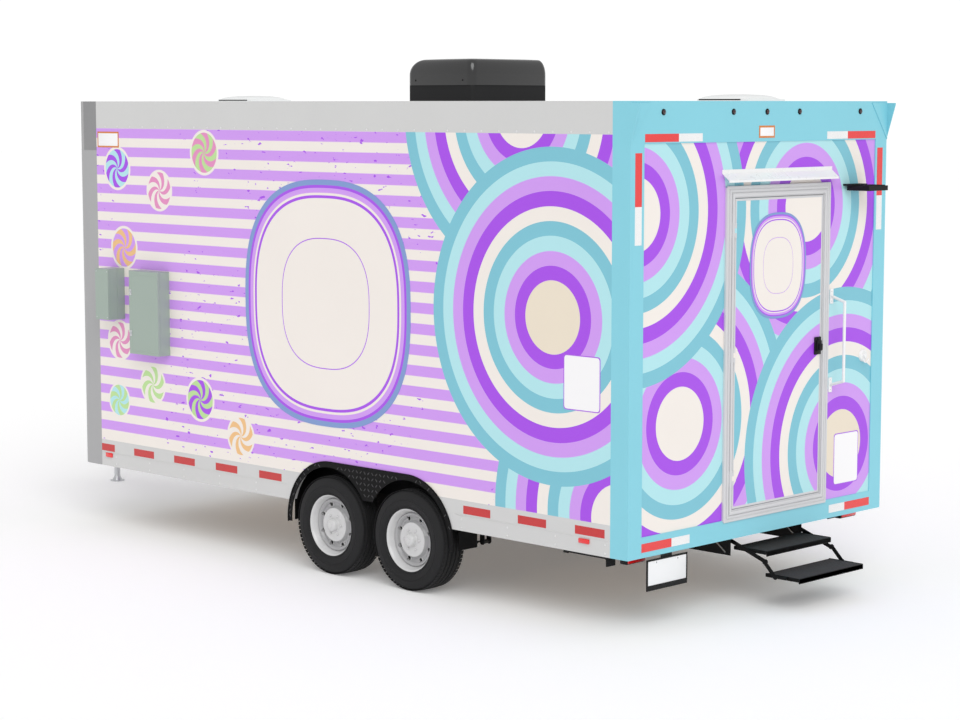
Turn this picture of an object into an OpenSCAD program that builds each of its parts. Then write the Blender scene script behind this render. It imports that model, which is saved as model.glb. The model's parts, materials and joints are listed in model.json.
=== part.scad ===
// Tandem-axle food trailer: a box body with a rear entry door, a serving hatch
// on the right side, fold-out steps and an A-frame tongue with its jack.
// X runs forward from the rear face, Y to the left, Z up from the ground.

/* [Box body] */
// Length of the box from its rear face to its front face
body_l = 5486; // [4800:1:6600]
// Width of the box over its side walls
body_w = 2590; // [2300:1:2650]
// Height of the roof above the ground
roof_z = 3180; // [3000:1:3500]
// Thickness of the side, front and rear walls
wall_t = 50; // [35:1:70]
// Thickness of the roof panel
roof_t = 50; // [30:1:80]
// Height of the floor above the ground
floor_z = 600; // [590:1:640]
// Thickness of the floor deck
floor_t = 45; // [30:1:60]
// Height of the lower edge of the bottom rails above the ground
skirt_z = 457; // [430:1:480]
// Height of the bottom rails
bottom_rail_h = 198; // [170:1:220]
// Height of the top rails
top_rail_h = 197; // [120:1:240]
// Radius of the front corners
corner_r = 100; // [60:1:150]
// Length of the front corner posts along each wall
front_post_l = 256; // [200:1:300]

/* [Rear frame] */
// Width of the rear posts
post_w = 125; // [90:1:150]
// Depth of the rear posts along the side walls
post_l = 140; // [90:1:180]
// Height of the header over the rear wall
header_h = 250; // [180:1:300]
// Height of the sill under the rear wall
sill_h = 126; // [100:1:130]
// Depth that the rear wall is set into its frame
rear_recess = 6; // [2:1:12]
// Reach of the corner gussets behind the rear face
gusset_out = 68; // [40:1:90]
// Width of the corner gussets at the top
gusset_w = 174; // [120:1:220]
// Thickness of the gusset plate
gusset_t = 5; // [4:1:8]

/* [Entry door] */
// Width of the door opening
door_w = 915; // [760:1:960]
// Height of the door opening
door_h = 1944; // [1800:1:2000]
// Thickness of the door leaf
door_t = 40; // [30:1:45]
// Distance of the door's middle from the centreline, to the right
door_off = 138; // [60:1:200]
// Height of the door opening's lower edge above the floor
door_lift = 43; // [25:1:60]
// Width of the door's trim frame
trim_w = 80; // [50:1:90]
// Gap between each door or lid and its frame
door_gap = 5; // [5:1:8]

/* [Serving hatch] */
// Width of the serving opening
hatch_w = 2200; // [1500:1:2300]
// Height of the serving opening
hatch_h = 1000; // [700:1:1050]
// Height of the serving opening's lower edge above the floor
hatch_lift = 900; // [850:1:1000]
// Distance from the rear face to the serving opening
hatch_x = 2150; // [1900:1:2300]
// Thickness of the hatch panel
hatch_t = 24; // [20:1:26]
// Depth of the fold-down shelf
shelf_d = 300; // [200:1:400]
// Thickness of the shelf
shelf_t = 20; // [15:1:30]

/* [Wheels and axles] */
// Outer diameter of the tyres
tyre_d = 670; // [640:1:700]
// Width of the tyres
tyre_w = 205; // [185:1:225]
// Outer diameter of the rims
rim_d = 430; // [400:1:440]
// Distance between the two axles
axle_gap = 760; // [740:1:840]
// Distance from the rear face to the middle of the axle pair
axle_x = 2245; // [2000:1:2600]
// Distance that the tyres stand out past the side of the box
tyre_proud = 35; // [-30:1:40]
// Diameter of the axle tubes
axle_d = 76; // [60:1:85]
// Diameter of the wheel spindles
spindle_d = 44; // [36:1:50]
// Depth of the fender skirts over the hub height
skirt_top = 430; // [400:1:460]
// Width of the band that the fender skirts leave round the wheels
skirt_band = 40; // [30:1:50]
// Distance that the fender arches stand forward of the wheels
arch_shift = 30; // [0:1:40]
// Thickness of the fender skirts
skirt_t = 6; // [4:1:10]
// Thickness of the wheel well sheets
well_t = 4; // [3:1:8]

/* [Chassis] */
// Height of the main rails
rail_h = 127; // [100:1:140]
// Width of the main rails
rail_w = 51; // [40:1:70]
// Distance of the main rails from the centreline
rail_y = 930; // [860:1:950]
// Distance from the front wall to the coupler's nose
tongue_l = 1620; // [1200:1:1900]
// Distance from the coupler's nose back to the tongue jack
jack_back = 300; // [250:1:400]
// Travel of the tongue jack
jack_travel = 300; // [200:1:300]

/* [Steps] */
// Width of the step treads
tread_w = 680; // [500:1:720]
// Depth of the step treads
tread_d = 265; // [220:1:280]
// Height of the upper tread above the ground
upper_tread_z = 355; // [340:1:370]
// Height of the lower tread above the ground
lower_tread_z = 215; // [200:1:230]
// Distance of the steps' middle from the centreline, to the right
step_off = 270; // [200:1:320]

/* [Fittings] */
// Length of the air conditioner
ac_l = 640; // [500:1:800]
// Width of the air conditioner
ac_w = 760; // [600:1:900]
// Height of the air conditioner
ac_h = 290; // [220:1:330]
// Distance from the rear face to the air conditioner
ac_x = 2210; // [1500:1:3000]
// Side of the square roof vents
vent_w = 400; // [300:1:450]
// Height of the roof vents
vent_h = 48; // [30:1:80]
// Width of the large power box
power_w = 340; // [250:1:400]
// Height of the large power box
power_h = 605; // [400:1:700]
// Reach of the large power box from the wall
power_out = 105; // [80:1:140]
// Width of the small power box
meter_w = 156; // [120:1:200]
// Height of the small power box
meter_h = 372; // [250:1:450]
// Reach of the small power box from the wall
meter_out = 150; // [100:1:160]

/* [Hidden] */

$fn = 64;

// Running clearance of a pin in its bore, and of a seat
fit = 0.3;
// A cut reaches past the faces it opens
past = 1;

half_w = body_w / 2;
wheel_r = tyre_d / 2;
nose_x = body_l + tongue_l;

// Steps: A is the upper pivot, B the pivot between the treads
step_a = [195, upper_tread_z + 40];
tread_back = 165;
step_b = [tread_back - tread_d + 5, (upper_tread_z + 15 + lower_tread_z) / 2];
lower_back = 2 * step_b[0] - (tread_back - tread_d);
lower_front = lower_back - tread_d;
tread_t = 15;

// The whole model is moved so that its box is centred on the origin
left_reach = half_w + meter_out;
hinge_r = 8;
right_reach = half_w + 2 * hinge_r + shelf_t;
mid_x = (nose_x + lower_front) / 2;
mid_y = (left_reach - right_reach) / 2;

floor_under = floor_z - floor_t;
rail_z = floor_under - rail_h;
wall_z0 = skirt_z + bottom_rail_h;
wall_z1 = roof_z - top_rail_h;
front_in = body_l - wall_t;

door_y0 = -door_off - door_w / 2;
door_y1 = -door_off + door_w / 2;
door_z0 = floor_z + door_lift;
door_z1 = door_z0 + door_h;
// The roof deck lies just under the top of the rails
deck_z = roof_z - 5;
vent_hole = vent_w - 40;
vents = [[420, -270], [body_l - 530, 0]];
trim_out = 6;
jamb_t = 20;
rear_x = rear_recess;

hinge_pin = 4;
hinge_leaf = 3;

hatch_z0 = floor_z + hatch_lift;
hatch_z1 = hatch_z0 + hatch_h;

axle_xs = [axle_x - axle_gap / 2, axle_x + axle_gap / 2];
tyre_y1 = half_w + tyre_proud;
tyre_y0 = tyre_y1 - tyre_w;
well_y = tyre_y0 - 50;
skirt_lap = 12;
well_x0 = axle_xs[0] + arch_shift - skirt_top + skirt_lap;
well_x1 = axle_xs[1] + arch_shift + skirt_top - skirt_lap;
well_z = wheel_r + skirt_top + 15;

jack_x = nose_x - jack_back;
jack_r = 30;
leg_r = 25;

module placed() {
    translate([-mid_x, -mid_y, 0]) children();
}

// A box given by its low and high corners
module block(low, high) {
    translate(low) cube(high - low);
}

// A round rod from one point to another
module rod(from, to, radius) {
    along = to - from;
    len = norm(along);
    translate(from)
        rotate([0, acos(along[2] / len), atan2(along[1], along[0])])
            cylinder(r = radius, h = len);
}

// A flat bar in the XZ plane with a wider round eye at each end, from y0 to y1
module bar_xz(from, to, radius, y0, y1) {
    along = to - from;
    len = norm(along);
    half = 0.8 * radius;
    translate([from[0], y1, from[1]]) rotate([90, 0, 0]) rotate([0, 0, atan2(along[1], along[0])]) {
        rotate([0, 0, 180]) cylinder(r = radius, h = y1 - y0);
        translate([0, -half, 0]) cube([len, 2 * half, y1 - y0]);
        translate([len, 0, 0]) cylinder(r = radius, h = y1 - y0);
    }
}

// Half of a butt hinge on the Z axis: the fixed half holds the pin and the end
// knuckles, the moving half the middle knuckle. Its leaf lies at x = hinge_r.
module hinge_fixed(len, leaf_l) {
    third = len / 3;
    cylinder(r = hinge_pin, h = len, center = true);
    for (end = [-1, 1]) translate([0, 0, end * third]) {
        cylinder(r = hinge_r, h = third, center = true);
        translate([hinge_r - hinge_leaf, 0, -third / 2]) cube([hinge_leaf, leaf_l, third]);
    }
    translate([hinge_r - hinge_leaf, hinge_r + 1, -len / 2])
        cube([hinge_leaf, leaf_l - hinge_r - 1, len]);
}

module hinge_moving(len, leaf_l) {
    third = len / 3 - 2 * fit;
    difference() {
        union() {
            cylinder(r = hinge_r, h = third, center = true);
            translate([hinge_r - hinge_leaf, -leaf_l, -third / 2]) cube([hinge_leaf, leaf_l, third]);
        }
        cylinder(r = hinge_pin + fit, h = len, center = true);
    }
    translate([hinge_r - hinge_leaf, -leaf_l, -len / 2])
        cube([hinge_leaf, leaf_l - hinge_r - 1, len]);
}

// ---- Chassis ----

cross_xs = [for (n = [0 : 7]) post_l + 25 + n * (front_in - post_l - 50) / 7];

module chassis_frame() color("dimgray") placed() {
    difference() {
        union() {
            for (side = [-1, 1])
                block([post_l, side * rail_y - rail_w / 2, rail_z],
                      [front_in, side * rail_y + rail_w / 2, floor_under]);
            // Cross members, cut short where the wheel wells stand
            for (x = cross_xs) {
                reach = (x > well_x0 - 40 && x < well_x1 + 40) ? rail_y : half_w - wall_t;
                block([x - 25, -reach, floor_under - 75], [x + 25, reach, floor_under]);
            }
            // The A-frame runs back under the floor to the rails
            for (side = [-1, 1]) {
                from = [front_in - 700, side * (rail_y - 10), rail_z];
                to = [nose_x - coupler_l + 15, side * 55, rail_z];
                along = to - from;
                translate(from) rotate([0, 0, atan2(along[1], along[0])])
                    translate([0, -rail_w / 2, 0]) cube([norm(along), rail_w, 102]);
            }
            // Jack plate between the A-frame legs
            block([jack_x - 90, -120, rail_z + 102], [jack_x + 90, 120, rail_z + 112]);
        }
        translate([jack_x, 0, rail_z]) cylinder(r = jack_r + 0.5, h = 300, center = true);
        // The legs end square against the coupler
        block([nose_x - coupler_l, -300, rail_z - past], [nose_x, 300, floor_under]);
    }
}

coupler_l = 190;
spring_half = 325;
spring_w = 44;
spring_pin = 8;
leaf_t = 9;
eye_r = 14;
seat_z = wheel_r - axle_d / 2 - 8;
camber = 40;
seat_half = 60;
eye_z = seat_z - leaf_t + camber;
link_l = axle_gap - 2 * spring_half;
hanger_xs = [axle_xs[0] - spring_half, axle_x, axle_xs[1] + spring_half];

// Spring hangers welded under the rails, each with its two cheeks and its pin
module spring_hangers() color("dimgray") placed()
    for (side = [-1, 1], x = hanger_xs) {
        block([x - 20, side * rail_y - spring_w / 2 - 12, rail_z - 6],
              [x + 20, side * rail_y + spring_w / 2 + 12, rail_z]);
        for (cheek = [-1, 1]) {
            y = side * rail_y + cheek * (spring_w / 2 + 9);
            block([x - 20, y - 3, eye_z], [x + 20, y + 3, rail_z - 6 + past]);
            translate([x, y + 3, eye_z]) rotate([90, 0, 0]) cylinder(r = 20, h = 6);
        }
        translate([x, side * rail_y, eye_z]) rotate([90, 0, 0])
            cylinder(r = spring_pin, h = spring_w + 18, center = true);
    }

// Outriggers with the cheeks and pins of the stabilisers
module stabiliser_mounts() color("dimgray") placed()
    for (side = [-1, 1]) mirror([0, side < 0 ? 1 : 0, 0]) {
        block([stab_x - 20, rail_y + rail_w / 2, floor_under - 75], [stab_x + 20, half_w - wall_t, floor_under]);
        for (y = [stab_y - 32, stab_y + 26])
            block([stab_x - 20, y, stab_z - 20], [stab_x + 20, y + 6, floor_under]);
        translate([stab_x, stab_y + 30, stab_z]) rotate([90, 0, 0]) cylinder(r = pin_r, h = 60);
    }

// Ball coupler: a housing over the ball socket with a latch block on top
module coupler() color("dimgray") placed() {
    ball_x = nose_x - 45;
    difference() {
        union() {
            block([nose_x - coupler_l, -60, rail_z + 20], [ball_x, 60, rail_z + 92]);
            translate([ball_x, 0, rail_z + 20]) cylinder(r = 45, h = 72);
            block([nose_x - 150, -18, rail_z + 92], [nose_x - 80, 18, rail_z + 118]);
        }
        translate([ball_x, 0, rail_z + 20 - past]) cylinder(r = 29.8, h = 50 + past);
    }
}

module floor_deck() color("tan") placed() {
    difference() {
        block([post_l, -(half_w - wall_t), floor_under], [front_in, half_w - wall_t, floor_z]);
        for (side = [-1, 1]) mirror([0, side < 0 ? 1 : 0, 0])
            block([well_x0 - well_t, well_y - well_t, floor_under - past],
                  [well_x1 + well_t, half_w, floor_z + past]);
    }
}

// ---- Box ----

module side_wall() {
    difference() {
        block([post_l, half_w - wall_t, wall_z0], [body_l - front_post_l, half_w, wall_z1]);
        wheel_cut();
    }
}

// The room for a side's wheels, up through the bottom rail and the wall. The
// skirt laps over its edge all round.
module wheel_cut() {
    reach = skirt_top - skirt_lap;
    arch_discs(reach, well_y, half_w + past);
    block([axle_xs[0] + arch_shift, well_y, 0], [axle_xs[1] + arch_shift, half_w + past, wheel_r + reach]);
}

module left_wall() color("plum") placed() side_wall();

module right_wall() color("plum") placed() difference() {
    mirror([0, 1, 0]) side_wall();
    block([hatch_x, -half_w - past, hatch_z0], [hatch_x + hatch_w, -half_w + wall_t + past, hatch_z1]);
}

module front_wall() color("lightgray") placed()
    block([front_in, -half_w + front_post_l, floor_under], [body_l, half_w - front_post_l, wall_z1]);

module rear_wall() color("plum") placed() difference() {
    block([rear_x, -half_w + post_w, skirt_z + sill_h],
          [rear_x + wall_t, half_w - post_w, roof_z - header_h]);
    block([rear_x - past, door_y0 - jamb_t, skirt_z],
          [rear_x + wall_t + past, door_y1 + jamb_t, door_z1 + jamb_t]);
}

module rear_frame() color("skyblue") placed() {
    difference() {
        block([0, -half_w, skirt_z], [post_l, half_w, roof_z]);
        block([-past, -half_w + post_w, skirt_z + sill_h],
              [post_l + past, half_w - post_w, roof_z - header_h]);
    }
    for (side = [-1, 1]) mirror([0, side < 0 ? 1 : 0, 0]) {
        // Fin in the plane of the side wall
        translate([0, half_w, 0]) rotate([90, 0, 0]) linear_extrude(gusset_t)
            polygon([[0, roof_z - header_h], [0, roof_z - 12], [-gusset_out, roof_z - 12],
                     [-gusset_out, roof_z - 24]]);
        // Flange flat on the rear face
        translate([-gusset_t, 0, 0]) rotate([90, 0, 90]) linear_extrude(gusset_t)
            polygon([[half_w, roof_z - header_h], [half_w, roof_z - 12],
                     [half_w - gusset_w, roof_z - 12]]);
    }
}

module roof_panel() color("whitesmoke") placed() difference() {
    block([post_l, -half_w + wall_t, deck_z - roof_t], [front_in, half_w - wall_t, deck_z]);
    for (at = vents)
        translate([at[0], at[1], deck_z]) cube([vent_hole, vent_hole, 3 * roof_t], center = true);
}

module top_rails() color("gainsboro") placed() {
    for (side = [-1, 1]) mirror([0, side < 0 ? 1 : 0, 0])
        block([post_l, half_w - wall_t, wall_z1], [body_l - front_post_l, half_w, roof_z]);
    block([front_in, -half_w + front_post_l, wall_z1], [body_l, half_w - front_post_l, roof_z]);
}

module bottom_rails() color("gainsboro") placed()
    for (side = [-1, 1]) mirror([0, side < 0 ? 1 : 0, 0]) difference() {
        block([post_l, half_w - wall_t, skirt_z], [body_l - front_post_l, half_w, wall_z0]);
        wheel_cut();
    }

module front_corner_posts() color("darkgray") placed()
    for (side = [-1, 1]) mirror([0, side < 0 ? 1 : 0, 0])
        translate([0, 0, skirt_z]) linear_extrude(roof_z - skirt_z) difference() {
            union() {
                translate([body_l - front_post_l, half_w - wall_t]) square([front_post_l - corner_r, wall_t]);
                translate([front_in, half_w - front_post_l]) square([wall_t, front_post_l - corner_r]);
                translate([body_l - corner_r, half_w - corner_r]) circle(r = corner_r);
            }
            translate([body_l - front_post_l - past, half_w - front_post_l - past])
                square([front_post_l - wall_t + past, front_post_l - wall_t + past]);
        }

// ---- Rear entry ----

door_hinge_x = -trim_out - hinge_r;
door_hinge_y = door_y1;
door_hinge_zs = [for (n = [0 : 2]) door_z0 + 200 + n * (door_h - 400) / 2];

module rear_door() color("plum") placed() {
    block([-trim_out, door_y0 + door_gap, door_z0 + door_gap],
          [-trim_out + door_t, door_y1 - door_gap, door_z1 - door_gap]);
    for (z = door_hinge_zs) translate([door_hinge_x, door_hinge_y, z]) hinge_moving(90, 40);
}

module door_frame() color("silver") placed() {
    difference() {
        union() {
            block([-trim_out, door_y0 - trim_w, skirt_z + sill_h - 6],
                  [rear_x, door_y1 + trim_w, door_z1 + trim_w - 15]);
            block([0, door_y0 - jamb_t, skirt_z + sill_h],
                  [rear_x + wall_t, door_y1 + jamb_t, door_z1 + jamb_t]);
        }
        block([-trim_out - past, door_y0, door_z0], [rear_x + wall_t + past, door_y1, door_z1]);
        // The frame's foot lies against the sill's face, not in it
        block([0, door_y0 - trim_w - past, skirt_z], [rear_x + past, door_y1 + trim_w + past, skirt_z + sill_h]);
    }
    for (z = door_hinge_zs) translate([door_hinge_x, door_hinge_y, z]) hinge_fixed(90, 40);
}

handle_z = door_z0 + 967;

module door_handle() color("black") placed() {
    block([-trim_out - 14, door_y0 + 12, handle_z - 57], [-trim_out, door_y0 + 82, handle_z + 57]);
    block([-trim_out - 40, door_y0 + 26, handle_z - 40], [-trim_out - 14, door_y0 + 68, handle_z + 10]);
}

module drip_hood() color("whitesmoke") placed() {
    top = door_z1 + trim_w + 95;
    translate([0, door_y1 + trim_w + 34, 0]) rotate([90, 0, 0])
        linear_extrude(door_w + 2 * trim_w + 54)
            polygon([[rear_x, top], [rear_x - 3, top], [rear_x - 3, top - 22], [-52, top - 66],
                     [-52, top - 78], [-49, top - 78], [-49, top - 66], [rear_x, top - 26]]);
}

module grab_handle() color("white") placed() {
    y = door_y0 - 115;
    reach = -104;
    feet = [1920, 1340];
    knees = [1888, 1372];
    for (n = [0, 1]) {
        block([rear_x - 8, y - 16, feet[n] - 48], [rear_x, y + 16, feet[n] + 48]);
        rod([rear_x - 8, y, feet[n]], [reach, y, knees[n]], 10);
        translate([reach, y, knees[n]]) sphere(r = 10);
    }
    rod([reach, y, knees[1]], [reach, y, knees[0]], 10);
}

module floodlight() color("black") placed() {
    y = -half_w + 355;
    z = door_z1 + 32;
    block([-190, y - 105, z - 16], [-16, y + 105, z + 16]);
    // Mounting plate
    block([-60, y - 60, z + 14], [rear_x, y + 118, z + 26]);
}

// ---- Serving side ----

hatch_hinge_y = -half_w - hinge_r;
hinge_len = 150;
hinge_leaf_l = 30;
hatch_hinge_xs = [for (n = [0 : 3]) hatch_x + 250 + n * (hatch_w - 500) / 3];

// Turns a hinge so that its pin runs along X on the right wall, with the fixed
// leaf up the wall and the moving leaf hanging down
module on_wall(x, z) {
    translate([x, hatch_hinge_y, z]) rotate([90, 0, 90]) children();
}

module serving_hatch() color("plum") placed() {
    block([hatch_x + door_gap, -half_w, hatch_z0 + door_gap],
          [hatch_x + hatch_w - door_gap, -half_w + hatch_t, hatch_z1 - door_gap]);
    for (x = hatch_hinge_xs) on_wall(x, hatch_z1) hinge_moving(hinge_len, hinge_leaf_l);
}

// Frame of the serving window, behind the hatch
module serving_window() color("silver") placed() {
    inner = -half_w + wall_t;
    difference() {
        block([hatch_x, -half_w + hatch_t + 6, hatch_z0], [hatch_x + hatch_w, inner, hatch_z1]);
        for (n = [0, 1]) {
            x0 = hatch_x + 30 + n * (hatch_w - 30) / 2;
            block([x0, -half_w, hatch_z0 + 30], [x0 + (hatch_w - 90) / 2, inner + past, hatch_z1 - 30]);
        }
    }
    for (x = hatch_hinge_xs) on_wall(x, hatch_z1) hinge_fixed(hinge_len, hinge_leaf_l);
    for (x = shelf_hinge_xs) on_wall(x, shelf_z) hinge_fixed(hinge_len, hinge_leaf_l);
}

// Two sliding panes, both pushed to the rear half
module serving_glass() color("lightblue") placed()
    for (y = [38, 45]) {
        x0 = hatch_x + 30;
        block([x0 + fit, -half_w + y, hatch_z0 + 30 + fit],
              [x0 + (hatch_w - 90) / 2 - fit, -half_w + y + 4, hatch_z1 - 30 - fit]);
    }

shelf_z = hatch_z0 - 45;
shelf_hinge_xs = [for (n = [0 : 2]) hatch_x + 250 + n * (hatch_w - 500) / 2];

module serving_shelf() color("silver") placed() {
    block([hatch_x + 50, -half_w - 2 * hinge_r - shelf_t, shelf_z - shelf_d],
          [hatch_x + hatch_w - 50, -half_w - 2 * hinge_r, shelf_z - hinge_r - 2]);
    // The moving leaves lie on the board's inner face
    for (x = shelf_hinge_xs) on_wall(x, shelf_z) mirror([1, 0, 0]) hinge_moving(hinge_len, hinge_leaf_l);
}

// ---- Fenders, axles and springs ----

// The skirt's lower edges over the ground: at its ends, and between the wheels
skirt_end_z = wheel_r - 25;
skirt_mid_z = wheel_r + 205;

// Two discs on the hub line, one round each wheel, as thick as from y0 to y1
module arch_discs(radius, y0, y1)
    for (x = axle_xs) translate([x + arch_shift, y1, wheel_r]) rotate([90, 0, 0])
        cylinder(r = radius, h = y1 - y0);

module fenders() color("#222222") placed()
    for (side = [-1, 1]) mirror([0, side < 0 ? 1 : 0, 0]) {
        // Skirt: a long arch over both wheels, with a narrow band round each end
        difference() {
            union() {
                arch_discs(skirt_top, half_w, half_w + skirt_t);
                block([axle_xs[0] + arch_shift, half_w, skirt_mid_z],
                      [axle_xs[1] + arch_shift, half_w + skirt_t, wheel_r + skirt_top]);
            }
            arch_discs(skirt_top - skirt_band, half_w - past, half_w + skirt_t + past);
            block([axle_xs[0] + arch_shift, half_w - past, 0],
                  [axle_xs[1] + arch_shift, half_w + skirt_t + past, skirt_mid_z]);
            block([0, half_w - past, -wheel_r], [body_l, half_w + skirt_t + past, skirt_end_z]);
        }
        // Wheel well: top, inner side and two ends of bent sheet
        difference() {
            block([well_x0 - well_t, well_y - well_t, skirt_end_z], [well_x1 + well_t, half_w - wall_t, well_z + well_t]);
            block([well_x0, well_y, 0], [well_x1, half_w + past, well_z]);
            block([well_x0 - 50, well_y - 50, 0], [well_x1 + 50, well_y + past, floor_under]);
        }
    }

module axle(x) {
    translate([x, 0, wheel_r]) rotate([90, 0, 0]) {
        cylinder(r = axle_d / 2, h = 2 * (tyre_y0 - 40), center = true);
        cylinder(r = spindle_d / 2, h = 2 * (tyre_y1 - 60), center = true);
    }
    for (side = [-1, 1]) mirror([0, side < 0 ? 1 : 0, 0]) {
        // Brake backing plate and spring seat
        translate([x, tyre_y0 - 30, wheel_r]) rotate([90, 0, 0]) cylinder(r = 130, h = 10);
        block([x - seat_half, rail_y - 30, seat_z], [x + seat_half, rail_y + 30, wheel_r - 20]);
    }
}

module front_axle() color("dimgray") placed() axle(axle_xs[1]);
module rear_axle() color("dimgray") placed() axle(axle_xs[0]);

// Outline of a leaf pack: a shallow bow, lowest under the axle, with each
// lower leaf shorter than the one over it
leaf_step = 90;
leaf_top = seat_z - bow(seat_half);
function bow(u) = camber * u * u / (spring_half * spring_half);
function under(u, n) = [u, leaf_top - leaf_t * (n + 1) + bow(u)];
half_under = [for (n = [0 : 2], k = [0 : 2])
    under(spring_half - leaf_step * n - k * (n < 2 ? leaf_step : spring_half - 2 * leaf_step) / 2, n)];
pack_outline = concat(
    [for (u = [-spring_half, -220, -140, -seat_half, 0, seat_half, 140, 220, spring_half]) [u, leaf_top + bow(u)]],
    half_under,
    [for (n = [len(half_under) - 2 : -1 : 0]) [-half_under[n][0], half_under[n][1]]]);

// Leaf packs under the axles, and the equalisers between them
module leaf_springs() color("dimgray") placed()
    for (side = [-1, 1]) translate([0, side * rail_y, 0]) {
        for (x = axle_xs) translate([x, spring_w / 2, 0]) rotate([90, 0, 0]) difference() {
            union() {
                linear_extrude(spring_w) polygon(pack_outline);
                for (end = [-1, 1]) translate([end * spring_half, eye_z, 0]) cylinder(r = eye_r, h = spring_w);
            }
            for (end = [-1, 1]) translate([end * spring_half, eye_z, -past])
                cylinder(r = spring_pin + fit, h = spring_w + 2 * past);
        }
        // Equaliser: two cheeks on the middle hanger's pin, with a pin for each eye
        for (cheek = [-1, 1]) difference() {
            y = cheek * (spring_w / 2 + 3);
            bar_xz([axle_x - link_l / 2, eye_z], [axle_x + link_l / 2, eye_z], 12, y - 2, y + 2);
            translate([axle_x, 0, eye_z]) rotate([90, 0, 0])
                cylinder(r = spring_pin + fit, h = 2 * spring_w, center = true);
        }
        for (end = [-1, 1]) translate([axle_x + end * link_l / 2, 0, eye_z]) rotate([90, 0, 0])
            cylinder(r = spring_pin, h = spring_w + 8, center = true);
    }

bead_r = rim_d / 2 - 22;
bead_half = 74;
flange_half = 80;

// Tyre profile: bead, bulged side walls and a flat tread with round shoulders
module tyre(x) {
    half = tyre_w / 2;
    bulge = 48.5;
    shoulder = 22;
    tread_half = half - 14;
    translate([x, tyre_y0 + half, wheel_r]) rotate([90, 0, 0]) rotate_extrude() difference() {
        union() {
            translate([bead_r, -bead_half]) square([70, 2 * bead_half]);
            for (end = [-1, 1]) {
                translate([bead_r + 70, end * (half - bulge)]) circle(r = bulge);
                translate([wheel_r - shoulder, end * (tread_half - shoulder)]) circle(r = shoulder);
            }
            translate([bead_r + 70 - bulge, -half + bulge]) square([2 * bulge, tyre_w - 2 * bulge]);
            translate([wheel_r - 45, -tread_half]) square([45 - shoulder, 2 * tread_half]);
            translate([wheel_r - 45, -tread_half + shoulder]) square([45, 2 * (tread_half - shoulder)]);
        }
        translate([bead_r - past, -bead_half + 12]) square([wheel_r - bead_r - 30, 2 * bead_half - 24]);
    }
}

hub_bore = spindle_d / 2 + 0.5;
disc_z = 30;
hole_count = 10;

// Wheel: rim with its flanges, pierced disc, hub with its cap, and brake drum
module rim(x) {
    seat = bead_r - fit;
    translate([x, tyre_y0 + tyre_w / 2, wheel_r]) rotate([-90, 0, 0]) difference() {
        union() {
            rotate_extrude() {
                translate([seat - 8, -flange_half]) square([8, 2 * flange_half]);
                translate([seat - 8, bead_half + fit]) square([30, flange_half - bead_half - fit]);
                translate([seat - 8, -flange_half]) square([30, flange_half - bead_half - fit]);
                translate([hub_bore, disc_z]) square([seat - hub_bore - 4, 8]);
                translate([hub_bore, -115]) square([30, 165]);
                translate([hub_bore, -115]) square([100, 85]);
            }
            translate([0, 0, disc_z]) cylinder(r = 58, h = 56);
        }
        for (n = [0 : hole_count - 1]) rotate([0, 0, n * 360 / hole_count])
            translate([128, 0, disc_z - past]) cylinder(r = 20, h = 20);
        translate([0, 0, disc_z - past]) cylinder(r = hub_bore, h = 40);
    }
}

module tyre_front_left() color("#1c1c1c") placed() tyre(axle_xs[1]);
module tyre_front_right() color("#1c1c1c") placed() mirror([0, 1, 0]) tyre(axle_xs[1]);
module tyre_rear_left() color("#1c1c1c") placed() tyre(axle_xs[0]);
module tyre_rear_right() color("#1c1c1c") placed() mirror([0, 1, 0]) tyre(axle_xs[0]);
module rim_front_left() color("whitesmoke") placed() rim(axle_xs[1]);
module rim_front_right() color("whitesmoke") placed() mirror([0, 1, 0]) rim(axle_xs[1]);
module rim_rear_left() color("whitesmoke") placed() rim(axle_xs[0]);
module rim_rear_right() color("whitesmoke") placed() mirror([0, 1, 0]) rim(axle_xs[0]);

// ---- Steps ----

arm_t = 6;
arm_y = tread_w / 2 + 3;
outer_arm_y = arm_y + arm_t + 6;
plate_y = outer_arm_y + arm_t + 10;
plate_t = 6;
pin_r = 8;
mount_back = 640;

module step_mount() color("#222222") placed() translate([0, -step_off, 0])
    for (side = [-1, 1]) mirror([0, side < 0 ? 1 : 0, 0]) {
        block([tread_back, plate_y, step_a[1] - 95], [mount_back, plate_y + plate_t, skirt_z]);
        translate([step_a[0], plate_y, step_a[1]]) rotate([90, 0, 0])
            cylinder(r = pin_r, h = plate_y - arm_y + 3);
        // Angle bolted up under the floor, behind the first cross member
        block([post_l + 55, plate_y, skirt_z - past], [mount_back, plate_y + 40, floor_under]);
    }

module tread(front, top) {
    block([front, -tread_w / 2, top - tread_t], [front + tread_d, tread_w / 2, top]);
    block([front, -tread_w / 2, top - 30], [front + 6, tread_w / 2, top]);
}

module upper_step() color("#222222") placed() translate([0, -step_off, 0]) {
    tread(tread_back - tread_d, upper_tread_z);
    for (side = [-1, 1]) mirror([0, side < 0 ? 1 : 0, 0]) {
        difference() {
            bar_xz(step_b, step_a, 16, arm_y, arm_y + arm_t);
            translate([step_a[0], 0, step_a[1]]) rotate([90, 0, 0])
                cylinder(r = pin_r + fit, h = 3 * body_w, center = true);
        }
        block([tread_back - tread_d + 60, tread_w / 2, upper_tread_z - tread_t],
              [tread_back - 20, arm_y + 2, upper_tread_z]);
        translate([step_b[0], outer_arm_y + arm_t + 2, step_b[1]]) rotate([90, 0, 0])
            cylinder(r = pin_r, h = outer_arm_y + arm_t - arm_y - 1);
    }
}

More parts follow.
